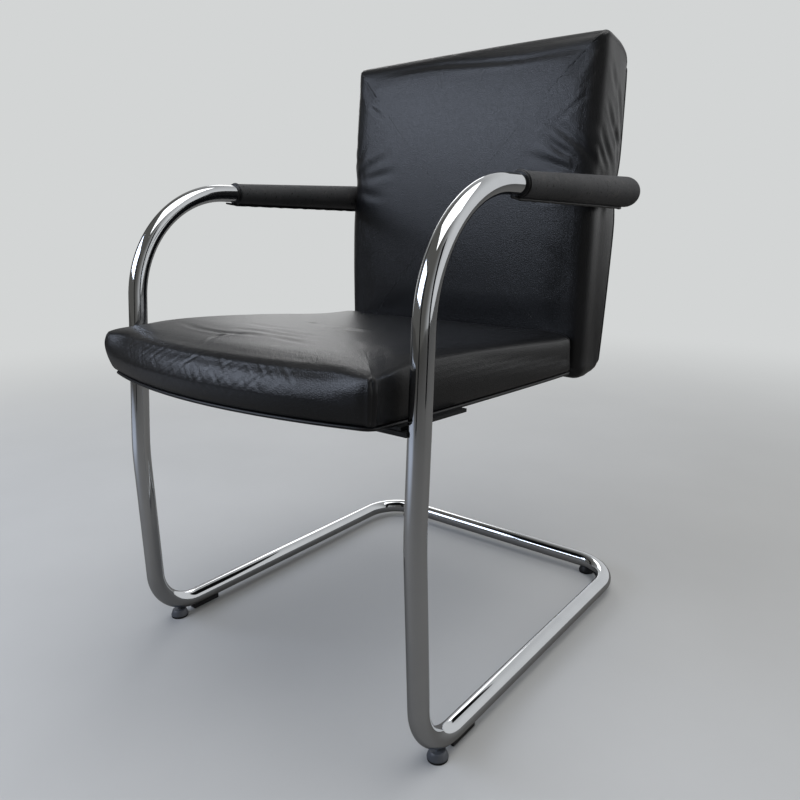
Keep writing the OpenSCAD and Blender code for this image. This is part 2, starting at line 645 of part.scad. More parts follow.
module arm_lip(side) color(leather_black) on_arm(side) difference() {
    union() {
        translate([0, 0, -lip_w / 2]) cylinder(r = sleeve_front_r + 2 * gap, h = lip_w / 2 - gap);
        translate([0, 0, -lip_w]) cylinder(r = sleeve_front_r - 2 * gap, h = lip_w / 2 + gap);
    }
    translate([0, 0, -lip_w - over]) cylinder(d = tube_d + 2 * gap, h = lip_w + 2 * over);
}
module arm_seam(side) color(leather_black) on_arm(side) difference() {
    translate([-fin_t / 2, sleeve_front_r - fin_h / 2, -fin_out])
        cube([fin_t, sleeve_rear_r - sleeve_front_r + fin_h * 3 / 2, fin_out + cone_len - 2 * lip_w]);
    sleeve_solid(-gap);
    translate([0, 0, -lip_w - gap]) cylinder(r = sleeve_front_r + 3 * gap, h = lip_w + 2 * gap);
    fin_cut();
}
// The lower edge of the strip follows the sleeve's cone
module fin_cut() {
    low = sleeve_front_r + fin_h;
    low_end = sleeve_rear_r + fin_h;
    far = low + tube_d;
    rotate([0, -90, 0]) translate([0, 0, -fin_t]) linear_extrude(height = 2 * fin_t) polygon([
        [-fin_out - over, low - fin_h], [-lip_w, low], [0, low],
        [cone_len, low_end], [cone_len, far], [-fin_out - over, far]
    ]);
}
module arm_cover_left() arm_cover(-1);
module arm_cover_right() arm_cover(1);
module arm_pad_left() arm_pad(-1);
module arm_pad_right() arm_pad(1);
module arm_plug_left() arm_plug(-1);
module arm_plug_right() arm_plug(1);
module arm_lip_left() arm_lip(-1);
module arm_lip_right() arm_lip(1);
module arm_seam_left() arm_seam(-1);
module arm_seam_right() arm_seam(1);

// Glides
rear_glide_y = run_end_y + sqrt(pow(rear_r, 2) - pow(rear_glide_x - side_x + rear_r, 2));
glide_top = 4;
glide_neck = 6;
pad_low = 2;
pad_gap = 11;
pad_y = glide_y + glide_d / 2 + pad_gap;
module at_glides(z) {
    place() for (side = [-1, 1]) {
        translate([side * side_x, glide_y, z]) children();
        translate([side * rear_glide_x, rear_glide_y, z]) children();
    }
}
module runner_cut() {
    place() for (side = [0, 1]) mirror([side, 0, 0]) {
        translate([side_x, 0, 0]) bar_line(side_bends[2][1], side_path[4]) circle(d = tube_d + 2 * gap);
        translate([side_x, 0, 0]) bar_bend(side_bends[2]) circle(d = tube_d + 2 * gap);
        corner_bend() circle(d = tube_d + 2 * gap);
    }
}
module glide_body(x, y, d) {
    difference() {
        place() translate([x, y, sole_t]) cylinder(d1 = d, d2 = d - glide_neck, h = glide_h + glide_top - sole_t);
        at_glides(sole_t - over) cylinder(d = screw_head_d + 2 * gap, h = screw_head_h + over);
        at_glides(0) cylinder(d = screw_d + 2 * gap, h = run_z);
        runner_cut();
    }
}
module front_glide_left() color(glide_grey) glide_body(-side_x, glide_y, glide_d);
module front_glide_right() color(glide_grey) glide_body(side_x, glide_y, glide_d);
module rear_glide_left() color(cover_black) glide_body(-rear_glide_x, rear_glide_y, rear_glide_d);
module rear_glide_right() color(cover_black) glide_body(rear_glide_x, rear_glide_y, rear_glide_d);
module glide_soles() color(cover_black) at_glides(0)
    cylinder(d = min(glide_d, rear_glide_d) - over, h = sole_t - gap / 2);
module glide_screws() color(zinc_grey) at_glides(sole_t + screw_head_h - gap)
    screw(screw_d, screw_head_d, screw_head_h - 2 * gap, glide_h + tube_wall);
module runner_pad(side) color(cover_black) difference() {
    place() translate([side * side_x - pad_w / 2, pad_y, pad_low]) cube([pad_w, pad_len, glide_h]);
    runner_cut();
}
module runner_pad_left() runner_pad(-1);
module runner_pad_right() runner_pad(1);

tube_frame();
seat_beam();
seat_bracket_left();
seat_bracket_right();
seat_screws();
seat_board();
seat_undercover();
seat_cushion();
seat_piping();
back_board();
back_panel();
back_cushion();
back_piping();
back_strap_left();
back_strap_right();
strap_screws();
back_lug_left();
back_lug_right();
lug_screws();
arm_bolt_left();
arm_bolt_right();
arm_insert_left();
arm_insert_right();
arm_plug_left();
arm_plug_right();
arm_pad_left();
arm_pad_right();
arm_cover_left();
arm_cover_right();
arm_lip_left();
arm_lip_right();
arm_seam_left();
arm_seam_right();
front_glide_left();
front_glide_right();
rear_glide_left();
rear_glide_right();
glide_soles();
glide_screws();
runner_pad_left();
runner_pad_right();
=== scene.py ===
# %% [markdown]
# # A cantilever chair in chromed tube and black leather
# One long steel tube is bent into both arms, both legs and the loop on the floor. The seat and
# the back are upholstered boards between its two sides. The CAD model is loaded as the fixed
# frame: the hard fittings stay as they are and get finishes, and the tube, the glides and the
# soft parts are modelled again here, in the same places.

# %% Load the frame
import math
import bpy
import numpy as np
from mathutils import Matrix, Vector
from mathutils.kdtree import KDTree


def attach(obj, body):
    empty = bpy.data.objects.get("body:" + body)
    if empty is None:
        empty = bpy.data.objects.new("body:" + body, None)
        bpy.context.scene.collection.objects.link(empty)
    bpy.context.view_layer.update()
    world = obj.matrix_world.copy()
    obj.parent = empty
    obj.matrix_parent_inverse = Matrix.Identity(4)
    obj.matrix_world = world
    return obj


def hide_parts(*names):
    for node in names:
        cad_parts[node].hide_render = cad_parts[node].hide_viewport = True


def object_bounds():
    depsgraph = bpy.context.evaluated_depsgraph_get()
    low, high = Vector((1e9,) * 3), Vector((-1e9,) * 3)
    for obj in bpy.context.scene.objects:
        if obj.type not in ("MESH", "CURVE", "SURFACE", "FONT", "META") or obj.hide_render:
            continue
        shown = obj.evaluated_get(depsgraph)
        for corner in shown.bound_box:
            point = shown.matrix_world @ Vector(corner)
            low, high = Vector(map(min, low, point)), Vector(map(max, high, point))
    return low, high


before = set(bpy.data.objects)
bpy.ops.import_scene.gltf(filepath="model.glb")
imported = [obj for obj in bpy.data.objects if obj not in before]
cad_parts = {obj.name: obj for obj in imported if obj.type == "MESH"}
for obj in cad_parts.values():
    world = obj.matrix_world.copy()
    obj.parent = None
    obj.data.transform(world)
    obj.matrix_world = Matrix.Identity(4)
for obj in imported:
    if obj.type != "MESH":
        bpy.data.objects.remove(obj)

CAD_BOX = [list(corner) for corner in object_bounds()]
ROOT = "root"
MM = 0.001
print("CAD box in metres:", CAD_BOX)

# %% [markdown]
# ## Sizes
# The CAD source measures from the front corner of the frame, so that corner's place along Y is
# found once from the CAD box. All lengths below are millimetres until a mesh is made of them,
# because a maker reads 25 mm more easily than 0.025 m.

# %% Sizes of the frame and the sleeves
TUBE_R = 12.5
SIDE_X = 252
RUN_Z = 20
DEPTH = 560
ARM_R, KNEE_R, FOOT_R, REAR_R = 155, 500, 67, 69
# Two corners of the side view before they are rounded: place along Y and height
KNEE = (-6.5, 286)
ARM_CORNER = (20, 653)
ARM_FALL = math.tan(math.radians(0.4))
SLEEVE_Y = 192.5
SLEEVE_LEN = 330.5
SLEEVE_FRONT_R = 15.2
SLEEVE_REAR_R = 21.8
CONE_LEN = SLEEVE_LEN - SLEEVE_REAR_R
FRONT_CORNER = CAD_BOX[1][1] / MM - DEPTH - TUBE_R


def arm_z(y):
    """Height of the arm's centre line, which falls a little towards the rear."""
    return ARM_CORNER[1] - (y - ARM_CORNER[0]) * ARM_FALL


def to_metres(points):
    """Millimetres from the frame's front corner to metres in the shared frame."""
    return (np.asarray(points, float) + (0, FRONT_CORNER, 0)) * MM


print("front corner at y =", round(FRONT_CORNER, 2), "mm")

# %% [markdown]
# ## Camera
# The camera was fitted to the chair's own tube, so it stands where the photographer stood: low,
# in front and to the right. A camera placed by eye would never let every edge fall in line. The
# small shift is the picture's own framing.

# %% Camera
AZIMUTH, ELEVATION, ROLL = math.radians(37.9), math.radians(-12.35), 0.0055
CAMERA_PLACE = (671.9, -549.2, 617.2)
SENSOR_WIDTH, FOCAL_LENGTH = 36, 32.21
SHIFT_RIGHT, SHIFT_UP = -0.01514, -0.0346
NEAREST = 0.02
forward = Vector((-math.sin(AZIMUTH) * math.cos(ELEVATION), math.cos(AZIMUTH) * math.cos(ELEVATION),
                  math.sin(ELEVATION)))
right = Vector((math.cos(AZIMUTH), math.sin(AZIMUTH), 0))
down = forward.cross(right)
turned_right = right * math.cos(ROLL) + down * math.sin(ROLL)
turned_down = down * math.cos(ROLL) - right * math.sin(ROLL)
lens = bpy.data.cameras.new("camera")
lens.sensor_width = SENSOR_WIDTH
lens.lens = FOCAL_LENGTH
lens.shift_x = SHIFT_RIGHT
lens.shift_y = SHIFT_UP
lens.clip_start = NEAREST
camera = bpy.data.objects.new("camera", lens)
bpy.context.collection.objects.link(camera)
camera.matrix_world = Matrix.Translation(to_metres(CAMERA_PLACE)) @ Matrix(
    (turned_right, -turned_down, -forward)).transposed().to_4x4()
bpy.context.scene.camera = camera
print("camera at", [round(v, 3) for v in camera.matrix_world.translation])

# %% [markdown]
# ## Tools for materials
# Colours are written as the sRGB hex codes that a screen shows, and one function turns them into
# the linear values that Blender works with. Another adds a node and feeds its inputs with values
# or links. Wired by hand, every finish would repeat the same few nodes, so three short functions
# name them: a noise, a stretched value and a blend of colours.

# %% Colours and nodes
def shade(code):
    rgb = [int(code[i:i + 2], 16) / 255 for i in (1, 3, 5)]
    return tuple(c / 12.92 if c <= 0.04045 else ((c + 0.055) / 1.055) ** 2.4 for c in rgb) + (1,)


def feed(tree, node, inputs):
    """Links the inputs that are given a socket, and sets the others."""
    for key, value in inputs.items():
        if isinstance(value, bpy.types.NodeSocket):
            tree.links.new(value, node.inputs[key])
        else:
            node.inputs[key].default_value = value


def add(tree, kind, inputs=None, **settings):
    made = tree.nodes.new(kind)
    for key, value in settings.items():
        setattr(made, key, value)
    feed(tree, made, inputs or {})
    return made


print("a middle grey in linear light:", round(shade("#808080")[0], 3))

# %% Noise, stretched values and blended colours
def noise(tree, place, scale, detail, roughness=0.5, output=0):
    """Output 0 is the noise as a value and 1 as a colour, which can also push places about."""
    inputs = {"Vector": place, "Scale": scale, "Detail": detail, "Roughness": roughness}
    return add(tree, "ShaderNodeTexNoise", inputs).outputs[output]


def stretched(tree, value, low, high, to_low=0.0, to_high=1.0, **settings):
    """Carries the values from low to high over to the new range, and clips the rest."""
    inputs = {"Value": value, "From Min": low, "From Max": high, "To Min": to_low, "To Max": to_high}
    return add(tree, "ShaderNodeMapRange", inputs, **settings).outputs[0]


def blend(tree, share, first, second):
    """The first colour where the share is 0 and the second where it is 1."""
    return add(tree, "ShaderNodeMix", {0: share, 6: first, 7: second}, data_type="RGBA").outputs[2]


def new_material(name):
    material = bpy.data.materials.new(name)
    material.use_nodes = True
    tree = material.node_tree
    return material, tree, tree.nodes["Principled BSDF"]


def dress(obj, material):
    obj.data.materials.clear()
    obj.data.materials.append(material)
    return obj


print("material tools ready")

# %% [markdown]
# ## Polished chrome
# The tube is mild steel, polished and chrome plated. Chrome is a clean mirror with a faint cool
# tint. Years of cleaning leave wipe marks: soft patches and hair lines that are slightly less
# sharp. A picture of scratches could be wrapped round the tube, but two noises need no unwrapping
# and never repeat.

# %% Chrome
def make_chrome():
    material, tree, bsdf = new_material("chrome plate on polished steel")
    place = add(tree, "ShaderNodeTexCoord").outputs["Object"]
    smears = noise(tree, place, 28.0, 3.0)
    drawn_out = add(tree, "ShaderNodeMapping", {"Vector": place, "Scale": (900.0, 900.0, 60.0)})
    hairs = noise(tree, drawn_out.outputs[0], 1.0, 2.0)
    wiped = add(tree, "ShaderNodeMath", {0: smears, 1: hairs}, operation="MULTIPLY").outputs[0]
    feed(tree, bsdf, {"Base Color": blend(tree, smears, shade("#DEE0E2"), shade("#D0D3D6")),
                      "Roughness": stretched(tree, wiped, 0.12, 0.42, 0.035, 0.11), "Metallic": 1.0})
    return material


chrome = make_chrome()
print("material:", chrome.name)

# %% [markdown]
# ## Black leather
# The covers are pigmented cowhide, about 1.2 mm thick. Its grain is small pebbles with fine
# valleys, drawn 2.4 mm wide on the cushions and 1.6 mm on the arms, because the real 1 mm ones are
# finer than a pixel. On the arms, where hands rest, the pigment is rubbed greyer in patches and
# nicked. A photographed hide would need an unwrapped mesh and would repeat, so cells and noises
# draw it instead.

# %% Leather
WARP_SHARE = 0.0015


def make_leather(name, dark, light, smooth, rough, grain, depth, wear=0.0):
    """Grain is a pebble's width and depth its height, in millimetres; wear is how much is rubbed."""
    material, tree, bsdf = new_material(name)
    place = add(tree, "ShaderNodeTexCoord").outputs["Object"]
    drift = noise(tree, place, 160.0, 2.0, output=1)
    warp = add(tree, "ShaderNodeMix", {0: WARP_SHARE, 4: place, 5: drift}, data_type="VECTOR").outputs[1]
    pebbles = add(tree, "ShaderNodeTexVoronoi", {"Vector": warp, "Scale": 1000.0 / grain},
                  feature="DISTANCE_TO_EDGE")
    valley = stretched(tree, pebbles.outputs[0], 0.0, 0.22)
    lines = noise(tree, place, 700.0, 2.0)
    height = add(tree, "ShaderNodeMath", {0: valley, 1: lines}, operation="ADD").outputs[0]
    bump = add(tree, "ShaderNodeBump", {"Height": height, "Distance": depth * MM, "Strength": 1.0})
    cloud = stretched(tree, noise(tree, place, 9.0, 3.0), 0.3, 0.7)
    tone = blend(tree, cloud, shade(dark), shade(light))
    rubbed = stretched(tree, noise(tree, place, 75.0, 6.0, 0.65), 0.56, 0.72, 0.0, wear)
    tone = blend(tree, rubbed, tone, shade("#75736E"))
    nicked = stretched(tree, noise(tree, place, 210.0, 3.0, 0.7), 0.61, 0.65, 0.0, min(1.0, 3 * wear))
    tone = blend(tree, nicked, tone, shade("#0D0D0E"))
    shine = stretched(tree, lines, 0.3, 0.7, smooth, rough)
    feed(tree, bsdf, {"Base Color": tone, "Roughness": shine, "Normal": bump.outputs[0], "IOR": 1.5})
    return material


cushion_leather = make_leather("pigmented black cowhide", "#0C0D0F", "#141518", 0.28, 0.37,
                              grain=2.4, depth=0.09)
sleeve_leather = make_leather("worn black cowhide on the arms", "#38393B", "#48484A", 0.6, 0.8,
                              grain=1.6, depth=0.07, wear=0.3)
piping_leather = make_leather("black piping leather", "#0D0E10", "#151619", 0.3, 0.44,
                              grain=1.5, depth=0.04)
print("materials:", cushion_leather.name, sleeve_leather.name, piping_leather.name)

# %% [markdown]
# ## Hard finishes under the seat
# Brackets and beam are powder coated: fine orange peel on a semi-matt black. Screws are zinc
# plated, the glides are moulded polyamide with rubber soles, and the cover is non-woven felt.
# Each is a slightly uneven colour over a fine relief, so one recipe with its own numbers makes
# them all.

# %% Finishes for the fittings
SHINE_DRIFT = 0.06


def make_solid(name, low, high, rough, scale, metallic=0.0, depth=0.05, stretch=(1, 1, 1)):
    """Scale is how many bumps of the relief fit in a metre, and depth their height in millimetres."""
    material, tree, bsdf = new_material(name)
    place = add(tree, "ShaderNodeTexCoord").outputs["Object"]
    place = add(tree, "ShaderNodeMapping", {"Vector": place, "Scale": stretch}).outputs[0]
    peel = noise(tree, place, scale, 3.0)
    cloud = noise(tree, place, scale / 12, 4.0)
    bump = add(tree, "ShaderNodeBump", {"Height": peel, "Distance": depth * MM})
    shine = stretched(tree, peel, 0.3, 0.7, rough - SHINE_DRIFT, rough + SHINE_DRIFT)
    feed(tree, bsdf, {"Base Color": blend(tree, cloud, shade(low), shade(high)), "Roughness": shine,
                      "Normal": bump.outputs[0], "Metallic": metallic})
    return material


powder_black = make_solid("black powder coat on steel", "#121314", "#1B1C1E", 0.42, 500.0)
zinc = make_solid("zinc plated steel", "#8E9094", "#A9ABAE", 0.32, 600.0, metallic=1.0)
felt = make_solid("black non-woven polypropylene felt", "#101113", "#1E1F22", 0.9, 900.0, depth=0.3)
birch = make_solid("birch plywood", "#B08A5C", "#CBA878", 0.6, 60.0, stretch=(1, 8, 8))
foam = make_solid("cut polyurethane foam", "#C8BF9E", "#D8D0B4", 0.95, 700.0, depth=0.4)
glide_grey = make_solid("grey polyamide", "#50535A", "#666A70", 0.4, 700.0)
glide_black = make_solid("black polyamide", "#17181A", "#222326", 0.45, 700.0)
rubber = make_solid("black sole rubber", "#0E0E0F", "#161617", 0.75, 900.0, depth=0.08)
print("finishes for fittings made")

# %% Finishing the CAD pieces
def pair(name):
    return [name + "_left", name + "_right"]


FITTINGS = (
    (powder_black, ["seat_beam"] + pair("seat_bracket") + pair("back_strap") + pair("back_lug")),
    (zinc, ["seat_screws", "strap_screws", "lug_screws", "glide_screws"]),
    (zinc, pair("arm_bolt") + pair("arm_insert")),
    (birch, ["seat_board", "back_board"]),
    (felt, ["seat_undercover"]),
    (foam, pair("arm_pad")),
    (glide_black, pair("arm_plug") + pair("runner_pad")),
)
for material, nodes in FITTINGS:
    for node in nodes:
        dress(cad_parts[node], material)
print("finished CAD pieces:", sum(len(nodes) for _, nodes in FITTINGS))

# %% [markdown]
# ## Mesh tools
# A tube, a sleeve, a piping cord and a glide are all a round section that travels along a line
# and changes its radius on the way. So one Geometry Nodes tree makes them all: it turns a line of
# edges into a curve and lays a ring round it, as wide at each point as the line's attribute says.

# %% Plain meshes
def make_object(name, points, faces, smooth=True):
    mesh = bpy.data.meshes.new(name)
    mesh.from_pydata(np.asarray(points).tolist(), [], faces)
    mesh.polygons.foreach_set("use_smooth", [smooth] * len(mesh.polygons))
    mesh.update()
    obj = bpy.data.objects.new(name, mesh)
    bpy.context.collection.objects.link(obj)
    return obj


def baked(obj, name):
    """The mesh that an object's modifiers make, as plain data."""
    mesh = bpy.data.meshes.new_from_object(obj.evaluated_get(bpy.context.evaluated_depsgraph_get()))
    mesh.name = name
    return mesh


print("mesh tools ready")

# %% The round tree
def make_round_tree():
    tree = bpy.data.node_groups.new("round piece along a line", "GeometryNodeTree")
    for socket, kind in (("Line", "Geometry"), ("Sides", "Int"), ("Finish", "Material")):
        tree.interface.new_socket(name=socket, in_out="INPUT", socket_type="NodeSocket" + kind)
    tree.interface.new_socket(name="Piece", in_out="OUTPUT", socket_type="NodeSocketGeometry")
    given = add(tree, "NodeGroupInput").outputs
    line = add(tree, "GeometryNodeMeshToCurve", {"Mesh": given["Line"]})
    ring = add(tree, "GeometryNodeCurvePrimitiveCircle", {"Resolution": given["Sides"], "Radius": 1.0})
    radius = add(tree, "GeometryNodeInputNamedAttribute", {"Name": "radius at point"}, data_type="FLOAT")
    skin = add(tree, "GeometryNodeCurveToMesh", {"Curve": line.outputs[0], "Profile Curve": ring.outputs[0],
                                                 "Scale": radius.outputs[0], "Fill Caps": True})
    smooth = add(tree, "GeometryNodeSetShadeSmooth", {"Geometry": skin.outputs[0]})
    whole = add(tree, "GeometryNodeRealizeInstances", {"Geometry": smooth.outputs[0]})
    finished = add(tree, "GeometryNodeSetMaterial", {"Geometry": whole.outputs[0],
                                                     "Material": given["Finish"]})
    add(tree, "NodeGroupOutput", {"Piece": finished.outputs[0]})
    return tree


round_tree = make_round_tree()
print("tree:", round_tree.name, "with", len(round_tree.nodes), "nodes")

# %% Round pieces and rounded lines
def round_piece(name, line, radii, finish, sides, closed=False):
    """Runs the tree on a line of points in metres, and keeps the result as a plain mesh."""
    line = np.asarray(line, float)
    count = len(line)
    mesh = bpy.data.meshes.new(name)
    edges = [(i, (i + 1) % count) for i in range(count if closed else count - 1)]
    mesh.from_pydata(line.tolist(), edges, [])
    wide = mesh.attributes.new("radius at point", "FLOAT", "POINT")
    wide.data.foreach_set("value", np.array(np.broadcast_to(radii, count), np.float32))
    obj = bpy.data.objects.new(name, mesh)
    bpy.context.collection.objects.link(obj)
    live = obj.modifiers.new("round", "NODES")
    live.node_group = round_tree
    for socket, value in (("Sides", sides), ("Finish", finish)):
        live[round_tree.interface.items_tree[socket].identifier] = value
    obj.data = baked(obj, name)
    obj.modifiers.clear()
    return obj


def rounded(corners, radii, turn, stride=25.0):
    """A line through the corners, each inner corner rounded to its radius in steps of turn degrees."""
    corners = [np.array(c, float) for c in corners]
    line = [corners[0]]
    for a, b, c, r in zip(corners, corners[1:], corners[2:], radii):
        u, v = (a - b) / np.linalg.norm(a - b), (c - b) / np.linalg.norm(c - b)
        half = math.acos(np.clip(np.dot(u, v), -1, 1)) / 2
        middle = b + (u + v) / np.linalg.norm(u + v) * r / math.sin(half)
        first, last = b + u * r / math.tan(half) - middle, b + v * r / math.tan(half) - middle
        total = math.pi - 2 * half
        steps = max(3, round(math.degrees(total) / turn))
        for i in range(steps + 1):
            t = i / steps
            swing = math.sin((1 - t) * total) * first + math.sin(t * total) * last
            line.append(middle + swing / math.sin(total))
    line.append(corners[-1])
    full = [line[0]]
    for p, q in zip(line, line[1:]):
        pieces = max(1, round(np.linalg.norm(q - p) / stride))
        full += [p + (q - p) * i / pieces for i in range(1, pieces + 1)]
    return np.array(full)


print("line tools ready")

# %% [markdown]
# ## The bent tube
# The real frame is one 25 mm tube, bent cold from arm end to arm end, so it is one piece here too.
# The CAD solids could simply be given a finish, but their bends are separate pieces, and the
# mirror would break at each joint. One line through all corners keeps the reflections flowing.

# %% Frame tube
TUBE_SIDES = 56
TUBE_STOP = 5.6
END_Y = SLEEVE_Y + CONE_LEN - TUBE_STOP
side = [(SIDE_X, END_Y, arm_z(END_Y)), (SIDE_X, *ARM_CORNER), (SIDE_X, *KNEE), (SIDE_X, 0, RUN_Z),
        (SIDE_X, DEPTH, RUN_Z)]
whole_path = side + [(-x, y, z) for x, y, z in reversed(side)]
bends = [ARM_R, KNEE_R, FOOT_R, REAR_R, REAR_R, FOOT_R, KNEE_R, ARM_R]
tube_line = rounded(whole_path, bends, turn=2.0)
frame_tube = round_piece("frame_tube", to_metres(tube_line), TUBE_R * MM, chrome,
                         sides=TUBE_SIDES)
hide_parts("tube_frame")
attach(frame_tube, ROOT)
print("frame tube:", len(frame_tube.data.polygons), "faces")

# %% [markdown]
# ## Arm sleeves
# Each arm's end is wrapped in a tapered leather sleeve over foam. It is thickest at the rounded
# rear end, and its cover is pulled over the front in two narrow rolled rings. The cover is closed
# by a seam along the underside, whose edges hang down as a thin sewn strip. Cover and rings are
# round, so the same tree makes them from radii along the arm. The strip is flat and slightly
# wavy, so it is a mesh of its own.

# %% Sleeve cover
SLEEVE_SIDES = 64
FRONT_TUCK = 0.5
END_LENGTH_POWER, END_WIDTH_POWER = 0.85, 0.7


def arm_line(ys, x):
    """Places on the arm's centre line, counted from the sleeve's front."""
    return to_metres([(x, SLEEVE_Y + y, arm_z(SLEEVE_Y + y)) for y in ys])


def make_sleeve(side_name, x):
    cone = np.linspace(0, CONE_LEN, 60)
    cone_radii = SLEEVE_FRONT_R + (SLEEVE_REAR_R - SLEEVE_FRONT_R) * cone / CONE_LEN
    cone_radii[0] -= FRONT_TUCK
    bow = np.radians(np.linspace(4, 89, 16))
    ys = np.concatenate([cone, CONE_LEN + SLEEVE_REAR_R * np.sin(bow) ** END_LENGTH_POWER])
    radii = np.concatenate([cone_radii, SLEEVE_REAR_R * np.cos(bow) ** END_WIDTH_POWER])
    sleeve = round_piece(f"sleeve_{side_name}", arm_line(ys, x), radii * MM, sleeve_leather,
                         sides=SLEEVE_SIDES)
    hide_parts(f"arm_cover_{side_name}")
    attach(sleeve, ROOT)


print("sleeve length:", SLEEVE_LEN, "mm")

# %% Rings at the sleeve's front
ROLL_R = 1.3
# Each ring's place along the arm and its outer radius
RINGS = ((-3.9, 15.2), (-1.2, 16.6))


def make_rings(side_name, x):
    roll = np.radians(np.linspace(-90, 90, 9))
    ys = np.concatenate([place + ROLL_R * np.sin(roll) for place, _ in RINGS])
    radii = np.concatenate([outer - ROLL_R + ROLL_R * np.cos(roll) for _, outer in RINGS])
    rings = round_piece(f"sleeve_rings_{side_name}", arm_line(ys, x), radii * MM, piping_leather,
                        sides=SLEEVE_SIDES)
    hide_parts(f"arm_lip_{side_name}")
    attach(rings, ROOT)


print("rings on each sleeve:", len(RINGS))

# %% Sewn strip below the sleeve
# How far the strip starts ahead of the sleeve and stops before its end
STRIP_LEAD, STRIP_STOP = 20, 10
# Half its thickness below and above, and the rounding of its lower edge
STRIP_HALF, STRIP_NECK, STRIP_ROUND = 1.0, 0.9, 0.5
# How far below the arm's centre line the strip starts and ends, at some places along the arm
STRIP_TOPS = ([-STRIP_LEAD, 0, CONE_LEN], [13.5, 14.5, SLEEVE_REAR_R - 1])
STRIP_BOTTOMS = ([-STRIP_LEAD, -6, 0, CONE_LEN], [15.8, 18.3, 18.8, SLEEVE_REAR_R + 3.6])


def make_strip(side_name, x):
    ys = np.concatenate([[-STRIP_LEAD, -14, -6], np.linspace(0, CONE_LEN - STRIP_STOP, 40)])
    bottoms = np.interp(ys, *STRIP_BOTTOMS) + 0.3 * np.sin(ys / 4.5) + 0.2 * np.sin(ys / 2.1 + 1)
    tops = np.interp(ys, *STRIP_TOPS)
    points = []
    for y, bottom, top in zip(ys, bottoms, tops):
        z = arm_z(SLEEVE_Y + y)
        for aside, fall in ((-STRIP_NECK, top), (-STRIP_HALF, bottom - STRIP_ROUND), (0, bottom),
                            (STRIP_HALF, bottom - STRIP_ROUND), (STRIP_NECK, top)):
            points.append((x + aside, SLEEVE_Y + y, z - fall))
    n = len(points) // len(ys)
    faces = [(i * n + j, i * n + n + j, i * n + n + (j + 1) % n, i * n + (j + 1) % n)
             for i in range(len(ys) - 1) for j in range(n)]
    faces += [tuple(range(n)), tuple(range(len(points) - 1, len(points) - n - 1, -1))]
    strip = make_object(f"sleeve_seam_{side_name}", to_metres(points), faces)
    dress(strip, piping_leather)
    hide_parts(f"arm_seam_{side_name}")
    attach(strip, ROOT)


print("strip thickness:", 2 * STRIP_HALF, "mm")

# %% Both arms
for side_name, x in (("left", -SIDE_X), ("right", SIDE_X)):
    make_sleeve(side_name, x)
    make_rings(side_name, x)
    make_strip(side_name, x)
print("sleeves made")

# %% [markdown]
# ## Cushion forms
# Each cushion is foam on a board in a sewn cover. It starts as a smooth closed form: its outline
# is drawn as rings that climb from the bottom seam over the side and the rounded edge to the
# crown. A subdivided box could give such a form too, but rings follow the sizes and keep a row
# along every seam. The columns stand closer together at the sewn corners, where the cover is
# pulled out to a crisp point, and on the seat's front, which has the finest creases.

# %% Smooth curves
def ease(u):
    u = np.clip(u, 0, 1)
    return u * u * (3 - 2 * u)


def smooth_rows(rows, steps):
    """More rows in between, on a Catmull-Rom curve; steps is one number or one for each interval."""
    rows = np.array(rows, float)
    steps = np.broadcast_to(steps, len(rows) - 1)
    wide = np.vstack([2 * rows[0] - rows[1], rows, 2 * rows[-1] - rows[-2]])
    out = []
    for i, count in enumerate(steps):
        a, b, c, d = wide[i:i + 4]
        for t in np.arange(count) / count:
            out.append(0.5 * (2 * b + (c - a) * t + (2 * a - 5 * b + 4 * c - d) * t ** 2
                              + (3 * b - a - 3 * c + d) * t ** 3))
    return np.array(out + [rows[-1]])


def arc(centre, r, first, last, count=24):
    turns = np.radians(np.linspace(first, last, count))
    return [(centre[0] + r * math.cos(t), centre[1] + r * math.sin(t)) for t in turns]


print("curve tools ready")

# %% Columns round an outline
CORNER_BAND, CORNER_FINE = 22, 0.3
FRONT_BAND, FRONT_FINE = 20, 0.5
POINT_SHARE = 0.95
NORMAL_REACH = 8


def closed_outline(half, corners, radius, half_turn, front=0, spacing=3.3, fine_count=9000):
    """Columns round the outline: place, outward normal, run, signed run to the nearest sewn corner,
    and the push that brings the rounded corner out to its point. They are closer together near
    the corners, and where the run from the middle of the front is less than front."""
    half = np.array(half, float)
    loop = np.vstack([half, half[1:-1][::-1] * (-1, 1), half[:1]])
    run = np.concatenate([[0], np.cumsum(np.linalg.norm(np.diff(loop, axis=0), axis=1))])
    total = run[-1]
    fine = np.arange(fine_count) * total / fine_count
    places = np.stack([np.interp(fine, run, loop[:, k]) for k in (0, 1)], 1)
    marks = [fine[np.argmin(np.linalg.norm(places - c, axis=1))] for c in corners]
    signed = np.array([(fine - m + total / 2) % total - total / 2 for m in marks])
    nearest = np.argmin(np.abs(signed), 0)
    gap = signed[nearest, np.arange(fine_count)]
    run_out = np.abs((fine + total / 2) % total - total / 2)
    at_corner = CORNER_FINE + (1 - CORNER_FINE) * ease(np.abs(gap) / CORNER_BAND)
    at_front = FRONT_FINE + (1 - FRONT_FINE) * ease((run_out - front) / FRONT_BAND)
    width = spacing * at_corner * at_front
    count = np.concatenate([[0], np.cumsum(total / fine_count / width)])
    columns = int(count[-1])
    at = np.interp(np.arange(columns) * count[-1] / columns, count, np.append(fine, total))
    pick = np.minimum((at / total * fine_count).round().astype(int), fine_count - 1)
    way = places[(pick + NORMAL_REACH) % fine_count] - places[pick - NORMAL_REACH]
    normal = np.stack([way[:, 1], -way[:, 0]], 1)
    turn = np.maximum(math.radians(half_turn) - np.abs(gap[pick]) / radius, 0)
    return {"line": places[pick], "normal": normal / np.linalg.norm(normal, axis=1)[:, None],
            "run": (fine[pick] + total / 2) % total - total / 2, "gap": gap[pick],
            "point": POINT_SHARE * radius * (1 / np.cos(turn) - 1)}


print("outline tools ready")

